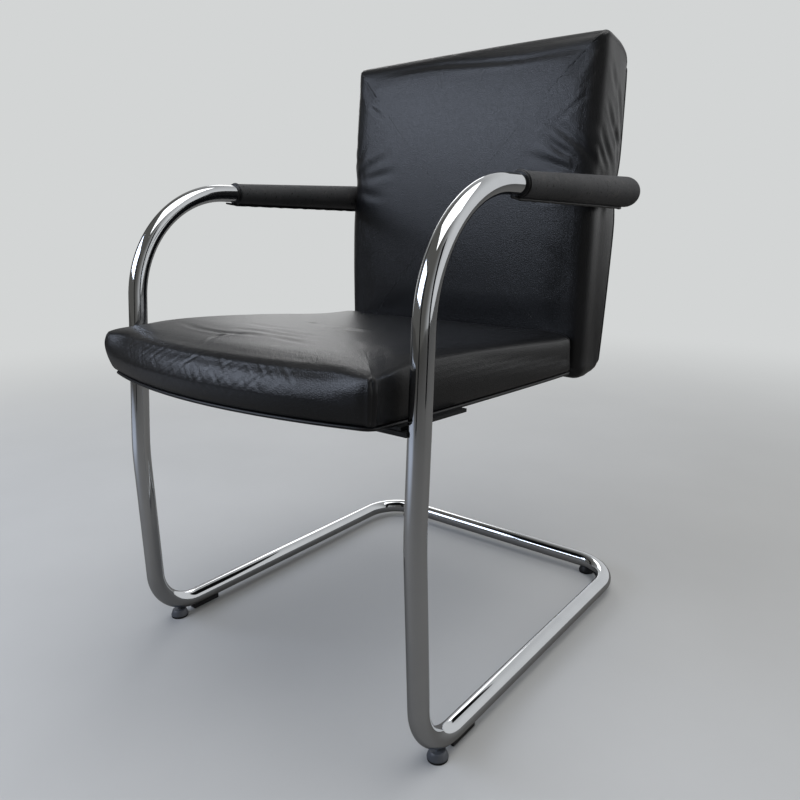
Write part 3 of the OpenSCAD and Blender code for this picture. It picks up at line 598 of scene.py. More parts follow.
# %% Closing rings into a form
def loft(name, rings, tip, base):
    """Closes rings of points with a tip above and a base point below, and keeps each point's climb
    from the bottom seam."""
    rings = np.array(rings)
    m, n = rings.shape[:2]
    steps = np.linalg.norm(np.diff(rings, axis=0), axis=2)
    climb = np.concatenate([np.zeros((1, n)), np.cumsum(steps, axis=0)])
    points = np.vstack([rings.reshape(-1, 3), [tip], [base]])
    faces = [(j * n + i, j * n + (i + 1) % n, (j + 1) * n + (i + 1) % n, (j + 1) * n + i)
             for j in range(m - 1) for i in range(n)]
    faces += [((m - 1) * n + i, (m - 1) * n + (i + 1) % n, m * n) for i in range(n)]
    faces += [((i + 1) % n, i, m * n + 1) for i in range(n)]
    return make_object(name, points * MM, faces), climb


print("loft ready")

# %% Seat outline, in the seat's own axes
# Half widths in front and behind, front edge and its bow, rear edge, and the rounded corners
HALF_F, HALF_R, FRONT, BOW, REAR, COR_F, COR_R = 231, 226, 87, 40, 422, 20, 30
SIDE_WAIST, FINE_FRONT, FLARE_LEN = 3, 190, 32
# The sewn points, where the sides would meet the bowed front
POINT_Y = BOW - FRONT
slope = math.degrees(math.atan(2 * BOW / HALF_F))
end_x = HALF_F - COR_F * (1 - math.sin(math.radians(slope)))
round_y = BOW * (end_x / HALF_F) ** 2 - FRONT + COR_F * math.cos(math.radians(slope))
side_len = REAR - COR_R - round_y
seat_half = [(x, BOW * (x / HALF_F) ** 2 - FRONT) for x in np.linspace(0, end_x, 50)[:-1]]
seat_half += arc((HALF_F - COR_F, round_y), COR_F, slope - 90, 0)
seat_half += [(HALF_F + (HALF_R - HALF_F) * u - SIDE_WAIST * math.sin(math.pi * u), round_y + side_len * u)
              for u in np.linspace(0, 1, 80)[1:-1]]
seat_half += arc((HALF_R - COR_R, REAR - COR_R), COR_R, 0, 90) + [(0, REAR)]
seat_out = closed_outline(seat_half, [(HALF_F, POINT_Y), (-HALF_F, POINT_Y)], COR_F, (90 - slope) / 2,
                          front=FINE_FRONT)
seat_flare = np.exp(-(seat_out["gap"] / FLARE_LEN) ** 2)[:, None]
print("seat outline:", len(seat_out["line"]), "columns")

# %% Seat rings
SEAT_Z, SEAT_FALL = 413, math.radians(2.9)
# Swelling of the front, the sides' share of it, and the crown
SEAT_SWELL, SIDE_SHARE, SEAT_CROWN = 7, 0.3, 13
# The front edge rolls back over a part of the way up, counted as height plus crown
FRONT_ROLL, ROLL_FROM, ROLL_LEN = 4.5, 0.5, 1.3
# The sewn points are pulled outwards and to the front, and every ring has this much of its point
CORNER_PULL = (4, -4.5)
LEAST_POINT_SHARE = 0.8
# Height of the cover's edge: in front, its rise behind the front, and its fall to the rear
EDGE_H, EDGE_RISE, EDGE_FALL, RISE_LEN, FALL_FROM = 44, 9, 8, 130, 65
# The hanging seam: how deep, where it starts and how long it is, and where it starts across
SAG, SAG_FROM, SAG_LEN, SAG_ASIDE, SAG_BAND = 3, -50, 440, 150, 60
SAG_POWER = 0.7
# Each ring: swell, share of the outline, height, crown, and pull at the sewn corners. The last
# list says how many rows are drawn from each ring to the next.
SEAT_RINGS = smooth_rows([
    [-0.3, 1, 0, 0, 0], [0.3, 1, 0.14, 0, 0.2], [0.75, 1, 0.36, 0, 0.5], [0.95, 1, 0.58, 0, 0.8],
    [0.84, 1, 0.77, 0, 1.1], [0.52, 1, 0.92, 0.02, 1.3], [0.07, 0.999, 1, 0.14, 1.6],
    [-0.5, 0.998, 1, 0.45, 1.7], [-1.1, 0.99, 1, 0.68, 1.3], [-1.5, 0.974, 1, 0.82, 0.8],
    [-1.6, 0.947, 1, 0.89, 0.3], [-1.6, 0.91, 1, 0.94, 0], [-1.6, 0.86, 1, 0.965, 0],
    [-1.6, 0.74, 1, 0.985, 0], [-1.6, 0.5, 1, 1, 0], [-1.6, 0.25, 1, 1, 0], [-1.6, 0.03, 1, 1, 0]],
    [3, 5, 6, 6, 5, 5, 5, 5, 5, 4, 4, 5, 8, 11, 9, 7])
seat_middle = np.array([0, (REAR - FRONT) / 2])


def seat_plan(off, share):
    line, normal = seat_out["line"], seat_out["normal"]
    lean = np.where(normal[:, 1] < 0, SIDE_SHARE - (1 - SIDE_SHARE) * normal[:, 1],
                    SIDE_SHARE * (1 - normal[:, 1]))
    moved = line + normal * (off * lean if off > 0 else np.full(len(lean), off))[:, None]
    return seat_middle + share * (moved - seat_middle)


def seat_edge(y):
    rise = EDGE_RISE * ease((y + FRONT) / RISE_LEN)
    return EDGE_H + rise - EDGE_FALL * ease((y - FALL_FROM) / (REAR - FALL_FROM))


def seat_sag(plan):
    """The lower seam hangs a little between the front corner and the rear."""
    along = np.sin(math.pi * np.clip((plan[:, 1] - SAG_FROM) / SAG_LEN, 0, 1)) ** SAG_POWER
    return SAG * along * ease((np.abs(plan[:, 0]) - SAG_ASIDE) / SAG_BAND)


def seat_ring(row):
    swell_share, share, height, crown, pull = row
    plan = seat_plan(swell_share * SEAT_SWELL, share)
    roll = FRONT_ROLL * math.sin(math.pi * min(max((height + crown - ROLL_FROM) / ROLL_LEN, 0), 1))
    plan[:, 1] += roll * np.clip(-seat_out["normal"][:, 1], 0, 1) ** 2 * (1 - seat_flare[:, 0])
    plan = plan + seat_out["normal"] * (seat_out["point"] * min(1, LEAST_POINT_SHARE + pull))[:, None]
    outwards = np.column_stack([np.sign(plan[:, 0]), np.ones(len(plan))]) * CORNER_PULL
    plan = plan + outwards * pull * seat_flare
    hang = seat_sag(plan) * (1 - height)
    return np.column_stack([plan, height * seat_edge(plan[:, 1]) + crown * SEAT_CROWN - hang])


def from_seat(points):
    x, y, z = np.asarray(points, float).T
    return to_metres(np.column_stack([x, y * math.cos(SEAT_FALL) + z * math.sin(SEAT_FALL),
                                      SEAT_Z - y * math.sin(SEAT_FALL) + z * math.cos(SEAT_FALL)]))


seat, seat_climb = loft("seat_cushion_leather", [seat_ring(r) for r in SEAT_RINGS],
                        (*seat_middle, seat_edge(seat_middle[1]) + SEAT_CROWN), (*seat_middle, 0))
print("seat form:", len(seat.data.vertices), "points")

# %% Back outline, in the back's own axes: across, up the rear face, forwards
BACK_HALF, BACK_H, BACK_BULGE, BACK_COR = 229, 493, 3.5, 16
back_half = [(x, 0) for x in np.linspace(0, BACK_HALF - BACK_COR, 30)[:-1]]
back_half += arc((BACK_HALF - BACK_COR, BACK_COR), BACK_COR, -90, 0)
back_half += [(BACK_HALF + BACK_BULGE * math.sin(math.pi * u), BACK_COR + (BACK_H - 2 * BACK_COR) * u)
              for u in np.linspace(0, 1, 90)[1:-1]]
back_half += arc((BACK_HALF - BACK_COR, BACK_H - BACK_COR), BACK_COR, 0, 90)
back_half += [(x, BACK_H) for x in np.linspace(BACK_HALF - BACK_COR, 0, 30)[1:]]
back_out = closed_outline(back_half, [(BACK_HALF, BACK_H), (-BACK_HALF, BACK_H)], BACK_COR, 45)
print("back outline:", len(back_out["line"]), "columns")

# %% Back rings
BACK_Z, BACK_Y, BACK_LEAN = 371, 495.6, math.radians(6.6)
# Depth at the lower end and its growth upwards, the rounded edge, the crown and the rear panel
BACK_T, GROW, GROW_SHARE, EDGE, BACK_CROWN, BASE = 73, 22, 0.86, 18, 8, 4.2
# How far the rounding at both ends reaches, its drop above and its lift below, and the top's bow
END_BAND, END_DROP, END_LIFT, TOP_BOW = 60, 19, 15, 3
LIFT_POWER, CROWN_POWER = 0.6, 4
# Near the lower end the cover hangs down by this much
LOW_BAND, LOW_FLARE = 40, 3
# Each ring: offset, drop, depth, edge, share of the outline, and pull at the sewn corners
BACK_RINGS = smooth_rows([
    [-0.07, 1, 0, 0, 1, 1], [0, 0.42, 0.12, 0, 1, 1], [0.06, 0.1, 0.38, 0, 1, 1],
    [0.1, 0, 0.68, 0, 1, 1], [0.16, 0, 1, 0, 1, 1], [0.05, 0, 1, 0.5, 1, 1],
    [-0.4, 0, 1, 0.87, 1, 0.8], [-1, 0, 1, 1, 1, 0.4], [-1, 0, 1, 1, 0.92, 0],
    [-1, 0, 1, 1, 0.78, 0], [-1, 0, 1, 1, 0.6, 0], [-1, 0, 1, 1, 0.38, 0],
    [-1, 0, 1, 1, 0.16, 0], [-1, 0, 1, 1, 0.03, 0]], [3, 6, 7, 7, 4, 3, 4, 8, 11, 12, 12, 10, 6])
back_middle = np.array([0, BACK_H / 2])
# The sleeves press a dent into the sides, and the crown starts a little below the seat's top
SLEEVE_GAP, DENT_LEN, EDGE_SHARE = 0.6, 30, 0.08
ARM_V = (arm_z(BACK_Y) - BACK_Z) / math.cos(BACK_LEAN)
ARM_DENT = max(0, BACK_HALF + BACK_BULGE + EDGE_SHARE * EDGE - SIDE_X + SLEEVE_REAR_R + SLEEVE_GAP)
SEAT_TOP, HIDDEN_BAND, CROWN_BAND = 47, 30, 60
CROWN_LOW = SEAT_Z + SEAT_TOP - BACK_Z - HIDDEN_BAND


def back_plan(off, drop, share):
    v = back_out["line"][:, 1]
    q = back_out["line"] + back_out["normal"] * off
    dent = ARM_DENT * np.exp(-((q[:, 1] - ARM_V) / DENT_LEN) ** 2) * ease(np.abs(q[:, 0]) / BACK_HALF)
    drop = max(drop, 0)
    low, high = ease((END_BAND - v) / END_BAND), ease((v - BACK_H + END_BAND) / END_BAND)
    ends = low * (drop / END_DROP) ** LIFT_POWER * END_LIFT - high * drop
    ends = ends - LOW_FLARE * ease((LOW_BAND - v) / LOW_BAND)
    bow = TOP_BOW * high * (q[:, 0] / BACK_HALF) ** 2
    moved = np.column_stack([q[:, 0] - np.sign(q[:, 0]) * dent, q[:, 1] + ends - bow])
    return back_middle + share * (moved - back_middle)


def back_depth(v):
    return BACK_T + GROW * (1 - (1 - np.clip(v / (GROW_SHARE * BACK_H), 0, 1)) ** 2)


def back_ring(row):
    offset, drop, depth, edge, share, pull = row
    plan = back_plan(offset * EDGE, drop * END_DROP, share)
    plan = plan + back_out["normal"] * (back_out["point"] * pull)[:, None]
    side_depth = back_depth(plan[:, 1]) - EDGE - BASE
    across, up = np.clip(np.abs((plan - back_middle) / (BACK_HALF, BACK_H / 2)), 0, 1).T
    crown = ease(edge) * BACK_CROWN * (1 - across ** CROWN_POWER) * (1 - up ** CROWN_POWER)
    crown = crown * ease((plan[:, 1] - CROWN_LOW) / CROWN_BAND)
    return np.column_stack([plan, BASE + depth * side_depth + edge * EDGE + crown])


def from_back(points):
    x, v, z = np.asarray(points, float).T
    return to_metres(np.column_stack([x, BACK_Y + v * math.sin(BACK_LEAN) - z * math.cos(BACK_LEAN),
                                      BACK_Z + v * math.cos(BACK_LEAN) + z * math.sin(BACK_LEAN)]))


back, back_climb = loft("back_cushion_leather", [back_ring(r) for r in BACK_RINGS],
                        (*back_middle, back_depth(back_middle[1]) + BACK_CROWN), (*back_middle, BASE))
print("back form:", len(back.data.vertices), "points")

# %% [markdown]
# ## Swelling the cushions
# Foam presses the leather outwards between the places where it is held. That could be sculpted by
# eye, but a short cloth simulation finds it by itself, on a stand-in: the form is remeshed into
# even squares, its lower face and its sewn corners are held, and a little pressure swells the
# rest. A share of that motion is then carried over to the finer form, whose seams stay crisp.

# %% Reading and writing points
def read_points(mesh, field="co"):
    flat = np.empty(len(mesh.vertices) * 3, np.float32)
    mesh.vertices.foreach_get(field, flat)
    return flat.reshape(-1, 3).astype(float)


def write_points(obj, points):
    obj.data.vertices.foreach_set("co", np.asarray(points, np.float32).ravel())
    obj.data.update()


print("point tools ready")

# %% Cloth pass
# The stand-in's squares and the held patch at each sewn corner are in millimetres
PRESSURE, VOXEL, HOLD_R = 4.0, 8.0, 18
CLOTH_STEPS, NEIGHBOURS = 20, 4


def blow_up(obj, held_below, corners):
    """Where a stand-in's points start, and how far the cloth simulation moves each of them."""
    remesh = obj.modifiers.new("remesh", "REMESH")
    remesh.mode = "VOXEL"
    remesh.voxel_size = VOXEL * MM
    proxy = bpy.data.objects.new("stand_in", baked(obj, "stand_in"))
    obj.modifiers.clear()
    bpy.context.collection.objects.link(proxy)
    before = read_points(proxy.data)
    held = before[:, 2] < held_below * MM
    for corner in corners:
        held |= np.linalg.norm(before[:, :2] - np.array(corner) * MM, axis=1) < HOLD_R * MM
    proxy.vertex_groups.new(name="held").add([int(i) for i in np.nonzero(held)[0]], 1.0, "REPLACE")
    cloth = proxy.modifiers.new("cloth", "CLOTH")
    cloth.settings.vertex_group_mass = "held"
    cloth.settings.use_pressure = True
    cloth.settings.uniform_pressure_force = PRESSURE
    cloth.settings.effector_weights.gravity = 0
    cloth.settings.bending_stiffness = 1.0
    for step in range(1, CLOTH_STEPS + 1):
        bpy.context.scene.frame_set(step)
    move = read_points(baked(proxy, "settled")) - before
    bpy.context.scene.frame_set(1)
    bpy.data.objects.remove(proxy)
    return before, move


def carry_over(obj, before, move):
    """Each point of the fine form follows the stand-in's nearest points, the closer the more."""
    tree = KDTree(len(before))
    for i, place in enumerate(before):
        tree.insert(place, i)
    tree.balance()
    points = read_points(obj.data)
    carried = np.zeros_like(points)
    for i, place in enumerate(points):
        found = tree.find_n(place, NEIGHBOURS)
        weight = np.array([1 / (f[2] + 1e-5) for f in found])
        carried[i] = weight @ move[[f[1] for f in found]] / weight.sum()
    write_points(obj, points + carried)


def swell(obj, held_below, corners, share, cap):
    before, move = blow_up(obj, held_below, corners)
    far = np.linalg.norm(move, axis=1)
    print(obj.name, "stand-in moved up to", round(float(far.max()) / MM, 1), "mm")
    carry_over(obj, before, move * (share * np.minimum(1, cap * MM / np.maximum(far, 1e-9)))[:, None])


print("cloth pass:", "ready")

# %% [markdown]
# ## Creases and seams
# Leather that has been sat on keeps its creases. A bump map would shade them, but pressed into the
# mesh they also show in the shadows and along the edges. Each one is drawn as a line on the face
# that it crosses, or on the unrolled skin: the surface sinks along it and rises a little on both
# sides. A sewn corner is a narrow groove with two soft ridges, from the bottom seam to its point.

# %% Crease tool
SKIN = "skin"
# The two axes that a line is drawn on, and the axis and sign of the face that it is pressed into
XY, YZ = (0, 1), (1, 2)
TOP, OUT, RIGHT, LEFT = (2, 1), (2, 1), (0, 1), (0, -1)
# A crease's raised rims: their height as a share of its depth, and their place in its widths
RIM_SHARE, RIM_AT, REACH = 0.45, 1.9, 4
# How fully it fades out at its ends, and how far a face has to be turned its way to take it
TAPER_POWER, TURN_FROM, TURN_BAND = 0.7, 0.1, 0.5


def distance_to(line, flat):
    """How far each point is from a line, and where along it, from 0 to 1, the nearest place is."""
    best = np.full(len(flat), 1e9)
    along = np.zeros(len(flat))
    parts = len(line) - 1
    for i in range(parts):
        a, d = line[i], line[i + 1] - line[i]
        t = np.clip(((flat - a) @ d) / max(d @ d, 1e-9), 0, 1)
        dist = np.linalg.norm(flat - a - t[:, None] * d, axis=1)
        closer = dist < best
        best = np.where(closer, dist, best)
        along = np.where(closer, (i + t) / parts, along)
    return best, along


def press_creases(obj, skin, creases):
    """creases: (two axes or SKIN, facing axis and sign or None, line, width, depth), in millimetres."""
    points = read_points(obj.data) / MM
    normals = read_points(obj.data, "normal")
    lift = np.zeros(len(points))
    for axes, facing, line, width, depth in creases:
        flat = skin if axes == SKIN else points[:, list(axes)]
        line = smooth_rows(line, 4)
        low, high = line.min(0) - REACH * width, line.max(0) + REACH * width
        near = np.nonzero(np.all((flat > low) & (flat < high), axis=1))[0]
        best, along = distance_to(line, flat[near])
        taper = np.sin(math.pi * np.clip(along, 0.02, 0.98)) ** TAPER_POWER
        mask = 1
        if facing:
            mask = ease((normals[near, facing[0]] * facing[1] - TURN_FROM) / TURN_BAND)
        rim = RIM_SHARE * np.exp(-((best - RIM_AT * width) / width) ** 2)
        lift[near] += depth * taper * mask * (rim - np.exp(-(best / width) ** 2))
    write_points(obj, (points + normals * lift[:, None]) * MM)


print("crease tool ready")

# %% Sewn corner tool
# The groove's width, and its ridges: height as a share of its depth, place and width
GROOVE, RIDGE_SHARE, RIDGE_AT, RIDGE = 1.2, 0.55, 3.2, 1.7
# The pit where the seams meet at the top, and the bands over which the groove fades
PIT, PIT_R, FADE_LOW, FADE_HIGH = 1.6, 4, 4, 7


def sew_corners(obj, outline, climb, top, depth):
    """A groove down each sewn corner; the climb at which it ends is top."""
    gap = np.abs(np.broadcast_to(outline["gap"], climb.shape))
    fade = ease(climb / FADE_LOW) * (1 - ease((climb - top) / FADE_HIGH))
    shape = RIDGE_SHARE * np.exp(-((gap - RIDGE_AT) / RIDGE) ** 2) - np.exp(-(gap / GROOVE) ** 2)
    pit = PIT * np.exp(-((climb - top) / PIT_R) ** 2 - (gap / PIT_R) ** 2)
    lift = np.append((depth * fade * shape - pit).ravel(), [0, 0])
    points = read_points(obj.data) / MM
    write_points(obj, (points + read_points(obj.data, "normal") * lift[:, None]) * MM)


def skin_of(outline, climb):
    """The unrolled skin: run and climb of each point, with the tip and the base far away."""
    run = np.broadcast_to(outline["run"], climb.shape)
    return np.vstack([np.column_stack([run.ravel(), climb.ravel()]), [(0, 1e4), (0, 1e4)]])


print("seam tool ready")

# %% [markdown]
# ## Seat
# The sitter's weight crosses the front edge, so the leather there is broken into a net of short
# slanting creases. A few long shallow ones lie across the top. The long ones are drawn where
# the chair has them. The net has no order that matters, so a loop draws it with a fixed
# random seed.

# %% Seat: swelling and long creases
HELD_Y = POINT_Y - 3
swell(seat, 5, [(HALF_F, HELD_Y), (-HALF_F, HELD_Y)], share=0.3, cap=9)
# Each crease on the top: its line as places across and to the rear, its width and its depth
TOP_CREASES = (
    ([(-54, 16), (-10, 20), (31, 18), (72, 16)], 4.5, 1.4),
    ([(-19, 37), (35, 33), (84, 36)], 5, 1.3),
    ([(15, 92), (45, 108), (80, 112)], 9, 1.6),
    ([(-158, 9), (-102, -7), (-50, -11), (-8, -3), (19, -2)], 4, 1.1),
    ([(-17, -58), (-32, -25), (-14, -4)], 3.6, 0.8),
    ([(25, 5), (65, -2), (108, -6)], 4.5, 0.8),
    ([(-90, 62), (-30, 55), (20, 62)], 6, 0.7),
    ([(120, 40), (160, 10), (196, -12)], 5, 0.15),
    ([(-60, 140), (0, 128), (50, 140)], 6, 0.8),
)
seat_creases = [(XY, TOP, *crease) for crease in TOP_CREASES]
seat_creases.append((SKIN, None, [(300, 62), (306, 40), (304, 12)], 3.5, 0.7))
print("long creases on the seat:", len(seat_creases))

# %% Seat: net of short creases on the front edge
rng = np.random.default_rng(7)
NET_COUNT, NET_FROM, NET_STEP, NET_CLIMB = 21, -150, 14.5, 36
NET_SHIFT, NET_SPREAD, NET_REACH, NET_DEPTH = 4, 13, (14, 24), (0.12, 0.3)
NET_WIDTH, NET_RISE = 2.2, 0.9
for i in range(NET_COUNT):
    run = NET_FROM + NET_STEP * i + rng.uniform(-NET_SHIFT, NET_SHIFT)
    climb = NET_CLIMB + rng.uniform(-NET_SPREAD, NET_SPREAD)
    for lean in (-1, 1):
        reach = rng.uniform(*NET_REACH)
        bend = rng.uniform(-NET_SHIFT, NET_SHIFT)
        line = [(run - lean * reach, climb + reach * NET_RISE), (run + bend, climb + bend),
                (run + lean * reach, climb - reach * NET_RISE)]
        seat_creases.append((SKIN, None, line, NET_WIDTH, rng.uniform(*NET_DEPTH)))
print("creases with the net:", len(seat_creases))

# %% Seat cushion
SEAT_SEAM_TOP, SEAT_SEAM_DEPTH = 50, 2.0
press_creases(seat, skin_of(seat_out, seat_climb), seat_creases)
sew_corners(seat, seat_out, seat_climb, SEAT_SEAM_TOP, SEAT_SEAM_DEPTH)
write_points(seat, from_seat(read_points(seat.data) / MM))
dress(seat, cushion_leather)
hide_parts("seat_cushion")
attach(seat, ROOT)
print("seat:", len(seat.data.polygons), "faces,", len(seat_creases), "creases")

# %% [markdown]
# ## Back
# The back is held at its two sides by the arms. The leather is pulled towards those two points,
# so folds run to them over the front and over the side panels. One long crease lies under the
# top edge. A simulation would need the cover's real cut to fold like this, so these folds are
# drawn too, and the two side panels share one list.

# %% Back: swelling and folds on its front
swell(back, 8, [(BACK_HALF, BACK_H), (-BACK_HALF, BACK_H)], share=0.32, cap=9)
# Each fold on the front: its line as places across and up, its width and its depth
FRONT_FOLDS = (
    ([(-178, 471), (-75, 475), (-37, 473), (43, 467), (90, 464), (128, 464), (215, 467)], 4.2, 0.8),
    ([(-39, 471), (-42, 432)], 2.4, 0.45),
    ([(42, 468), (31, 430)], 2.4, 0.45),
    ([(90, 463), (96, 440)], 3, 0.25),
    ([(-100, 473), (-106, 450)], 3, 0.25),
    ([(156, 348), (175, 333), (194, 321), (237, 298)], 6, 1.4),
    ([(130, 323), (175, 307), (224, 296)], 6.5, 1.1),
    ([(203, 343), (224, 318), (238, 299)], 5.5, 1.1),
    ([(219, 408), (197, 389), (170, 367)], 4, 0.35),
    ([(150, 377), (190, 350), (232, 307)], 8, 1.1),
    ([(-234, 298), (-190, 316), (-142, 336)], 7, 0.9),
    ([(-232, 295), (-180, 302), (-120, 309)], 7, 0.7),
    ([(-193, 422), (-178, 413), (-160, 402)], 4, 0.7),
    ([(-232, 305), (-208, 340), (-192, 361)], 6, 0.6),
    ([(-230, 285), (-190, 273), (-150, 267)], 7, 0.7),
    ([(230, 281), (190, 267), (150, 261)], 7, 1.0),
)
back_creases = [(XY, OUT, *fold) for fold in FRONT_FOLDS]
print("folds on the back's front:", len(back_creases))

# %% Back: folds on both side panels
# Each fold: its line as places up and forwards, its width and its depth
SIDE_FOLDS = (
    ([(400, 72), (370, 45), (340, 8)], 5, 1.7),
    ([(365, 86), (337, 62), (313, 32)], 6, 2.1),
    ([(435, 40), (400, 24), (355, 4)], 5, 1.2),
    ([(340, 90), (323, 70), (307, 46)], 5, 1.6),
    ([(455, 72), (430, 52), (405, 30)], 6, 0.9),
    ([(385, 40), (350, 26), (317, 14)], 4, 1.0),
    ([(255, 80), (273, 62), (287, 44)], 6, 1.2),
    ([(230, 60), (255, 46), (277, 30)], 6, 0.8),
)
back_creases += [(YZ, face, *fold) for face in (RIGHT, LEFT) for fold in SIDE_FOLDS]
print("folds with the sides:", len(back_creases))

# %% Back cushion
BACK_SEAM_TOP, BACK_SEAM_DEPTH = 92, 1.2
press_creases(back, skin_of(back_out, back_climb), back_creases)
sew_corners(back, back_out, back_climb, BACK_SEAM_TOP, BACK_SEAM_DEPTH)
write_points(back, from_back(read_points(back.data) / MM))
dress(back, cushion_leather)
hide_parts("back_cushion")
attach(back, ROOT)
print("back:", len(back.data.polygons), "faces,", len(back_creases), "creases")

# %% [markdown]
# ## Piping and covers
# A thin leather cord is sewn into the bottom seam of the seat and into the rear seam of the back.
# It follows each cushion's own outline, so the round tree lays it along every second column. The
# back's rear cover is a leather panel inside its cord, and the CAD piece serves for that.

# %% Piping
SEAT_CORD_R, SEAT_CORD_IN, SEAT_CORD_LOW = 2.1, 2.1, 2.3
BACK_CORD_R, BACK_CORD_IN, BACK_CORD_UP = 1.8, 2.5, 2.2
CORD_SIDES = 12


def make_cord(name, line, radius, node):
    cord = round_piece(name, line, radius * MM, piping_leather, sides=CORD_SIDES, closed=True)
    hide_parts(node)
    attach(cord, ROOT)
    return len(line)


plan = seat_plan(-SEAT_CORD_IN, 1)[::2]
line = from_seat(np.column_stack([plan, -SEAT_CORD_LOW - seat_sag(plan)]))
print("seat piping:", make_cord("seat_piping_cord", line, SEAT_CORD_R, "seat_piping"), "rings")
plan = back_plan(-BACK_CORD_IN, END_DROP, 1)[::2]
line = from_back(np.column_stack([plan, np.full(len(plan), BACK_CORD_UP)]))
print("back piping:", make_cord("back_piping_cord", line, BACK_CORD_R, "back_piping"), "rings")
dress(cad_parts["back_panel"], cushion_leather)

# %% [markdown]
# ## Glides
# Plastic glides keep the tube off the floor: a moulded cone with a rubber sole. A cone could be
# turned with a Screw modifier, but it is a round section along an upright line, so the round tree
# makes it too.

# %% Glides
# Height above the floor and radius, from the sole to the tube
GLIDE_PROFILE = ((2.5, 12.2), (2.9, 13.0), (4.2, 12.7), (8.5, 11.0), (10.6, 10.2), (11.4, 9.2))
GLIDE_SIDES = 40
FRONT_GLIDE_Y, REAR_GLIDE_X = 34.5, 199
# The rear glides sit under the bends, so their Y follows from the bend's circle
REAR_GLIDE_Y = DEPTH - REAR_R + math.sqrt(REAR_R ** 2 - (REAR_GLIDE_X - SIDE_X + REAR_R) ** 2)


def make_glide(node, x, y, material):
    line = [(x, y, z) for z, _ in GLIDE_PROFILE]
    radii = np.array([r for _, r in GLIDE_PROFILE]) * MM
    glide = round_piece(node + "_body", to_metres(line), radii, material, sides=GLIDE_SIDES)
    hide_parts(node)
    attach(glide, ROOT)


for side_name, s in (("left", -1), ("right", 1)):
    make_glide(f"front_glide_{side_name}", s * SIDE_X, FRONT_GLIDE_Y, glide_grey)
    make_glide(f"rear_glide_{side_name}", s * REAR_GLIDE_X, REAR_GLIDE_Y, glide_black)
dress(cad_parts["glide_soles"], rubber)
print("rear glides at y =", round(REAR_GLIDE_Y, 1), "mm")

# %% [markdown]
# ## Floor, light and background
# A plain pale floor and a pale background, lit by one large soft light from the left like a
# window, softer ones behind and above, and the world's light. The camera sees the floor fade
# into the background, while reflections and bounced light meet a floor darkened by painted shade,
# with a painted pool of window light in front at the left. Dark cards that only reflections show
# give the chrome its dark lines, as a photographer's black flags do.

# %% Floor
PALE = "#D3D5D5"
FLOOR_HALF = 9.0
# Place and fading radii of a painted pool of window light on the floor, seen only by reflections and
# bounced light
PAINTED_POOL_PLACE, PAINTED_POOL_INNER, PAINTED_POOL_OUTER = (-1.3, -1.7, 0), 0.6, 1.4
FADE_FROM, FADE_TO = 0.7, 3.0
SOFT = "SMOOTHSTEP"


def flat_piece(name, half_width, half_height):
    corners = [(-half_width, -half_height, 0), (half_width, -half_height, 0),
               (half_width, half_height, 0), (-half_width, half_height, 0)]
    return make_object(name, corners, [(0, 1, 2, 3)], smooth=False)


def make_floor():
    material, tree, bsdf = new_material("pale painted floor")
    place = add(tree, "ShaderNodeTexCoord").outputs["Object"]
    ray = add(tree, "ShaderNodeLightPath").outputs["Is Camera Ray"]
    seen = blend(tree, noise(tree, place, 3.0, 5.0), shade("#C6C7C7"), shade("#D2D3D3"))
    # Reflections and bounced light see a floor darkened by painted shade, with a painted pool of window
    # light at the left front
    off = add(tree, "ShaderNodeVectorMath", {0: place, 1: PAINTED_POOL_PLACE}, operation="DISTANCE")
    painted_light_pool = stretched(tree, off.outputs["Value"], PAINTED_POOL_INNER, PAINTED_POOL_OUTER, 1.0, 0.0, interpolation_type=SOFT)
    painted_floor_for_reflections = blend(tree, painted_light_pool, shade("#767471"), shade("#B6BAC2"))
    feed(tree, bsdf, {"Base Color": blend(tree, ray, painted_floor_for_reflections, seen), "Roughness": 0.75})
    away = add(tree, "ShaderNodeVectorMath", {0: place}, operation="LENGTH").outputs["Value"]
    fade = stretched(tree, away, FADE_FROM, FADE_TO, interpolation_type=SOFT)
    fade = add(tree, "ShaderNodeMath", {0: fade, 1: ray}, operation="MULTIPLY").outputs[0]
    far = add(tree, "ShaderNodeEmission", {"Color": shade(PALE), "Strength": 1.0})
    mixed = add(tree, "ShaderNodeMixShader", {0: fade, 1: bsdf.outputs[0], 2: far.outputs[0]})
    feed(tree, tree.nodes["Material Output"], {"Surface": mixed.outputs[0]})
    floor = dress(flat_piece("floor", FLOOR_HALF, FLOOR_HALF), material)


make_floor()
print("floor made")

# %% Lights and dark cards
CARD_BLACK = "#0A0A0B"
CARD_AIM, CARD_HEIGHT = (0, 0, 0.5), 2.4


def aim(obj, middle, target, facing):
    turn = (Vector(target) - Vector(middle)).to_track_quat(facing, "Y")
    obj.matrix_world = Matrix.Translation(middle) @ turn.to_matrix().to_4x4()


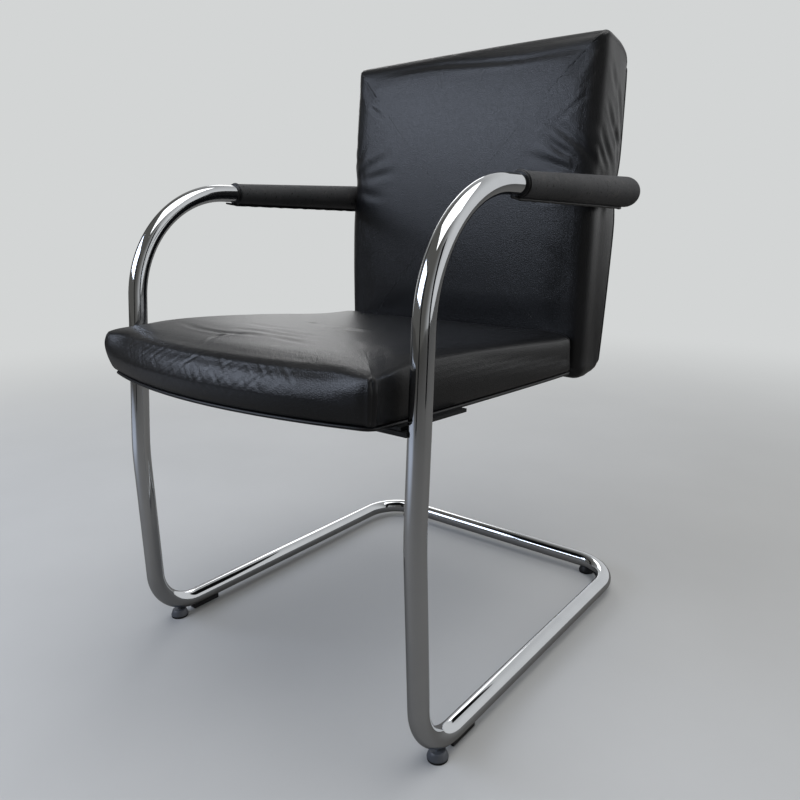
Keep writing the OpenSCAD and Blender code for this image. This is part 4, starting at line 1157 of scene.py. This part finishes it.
def make_card(name, middle, width):
    card = flat_piece(name, width / 2, CARD_HEIGHT / 2)
    aim(card, middle, CARD_AIM, "Z")
    card.visible_camera = card.visible_diffuse = card.visible_shadow = False
    material, tree, bsdf = new_material(name + " cloth")
    feed(tree, bsdf, {"Base Color": shade(CARD_BLACK), "Roughness": 1.0})
    dress(card, material)


def make_light(name, middle, target, width, height, watts, colour):
    data = bpy.data.lights.new(name, "AREA")
    data.shape = "RECTANGLE"
    data.size = width
    data.size_y = height
    data.energy = watts
    data.color = shade(colour)[:3]
    light = bpy.data.objects.new(name, data)
    aim(light, middle, target, "-Z")
    bpy.context.collection.objects.link(light)


make_light("window", (-1.5, -2.15, 1.8), (0, 0.1, 0.75), 2.6, 1.2, 40, "#DFEAFF")
make_light("rear_window", (-2.2, 2.2, 1.9), (0, 0, 0.5), 1.2, 1.6, 12, "#FFFFFF")
make_light("ceiling", (0.4, -0.2, 3.0), (0, 0, 0), 2.4, 2.4, 40, "#FFFFFF")
make_card("dark_card_left", (-2.4, -0.2, 0.9), 0.4)
make_card("dark_card_right", (2.3, -0.5, 0.9), 0.5)
make_card("dark_card_front", (0.3, -2.4, 0.9), 0.4)
print("lights and cards made")

# %% World
BRIGHT_WAY = (0.35, 0.85, -0.5)


def make_world():
    """The camera sees plain pale walls; the light comes mostly from behind, the right and below."""
    world = bpy.data.worlds.new("studio")
    bpy.context.scene.world = world
    world.use_nodes = True
    tree = world.node_tree
    tree.nodes.clear()
    ray = add(tree, "ShaderNodeLightPath").outputs["Is Camera Ray"]
    way = add(tree, "ShaderNodeTexCoord").outputs["Generated"]
    facing = add(tree, "ShaderNodeVectorMath", {0: way, 1: BRIGHT_WAY}, operation="DOT_PRODUCT")
    bright = stretched(tree, facing.outputs["Value"], -0.6, 0.5, interpolation_type=SOFT)
    walls = blend(tree, bright, shade("#5C5B58"), shade("#D8D9DA"))
    lit = add(tree, "ShaderNodeBackground", {"Color": walls, "Strength": 1.0})
    seen = add(tree, "ShaderNodeBackground", {"Color": shade(PALE), "Strength": 1.0})
    mixed = add(tree, "ShaderNodeMixShader", {0: ray, 1: lit.outputs[0], 2: seen.outputs[0]})
    add(tree, "ShaderNodeOutputWorld", {"Surface": mixed.outputs[0]})


make_world()
bpy.context.scene.view_settings.view_transform = "Standard"
print("world made")
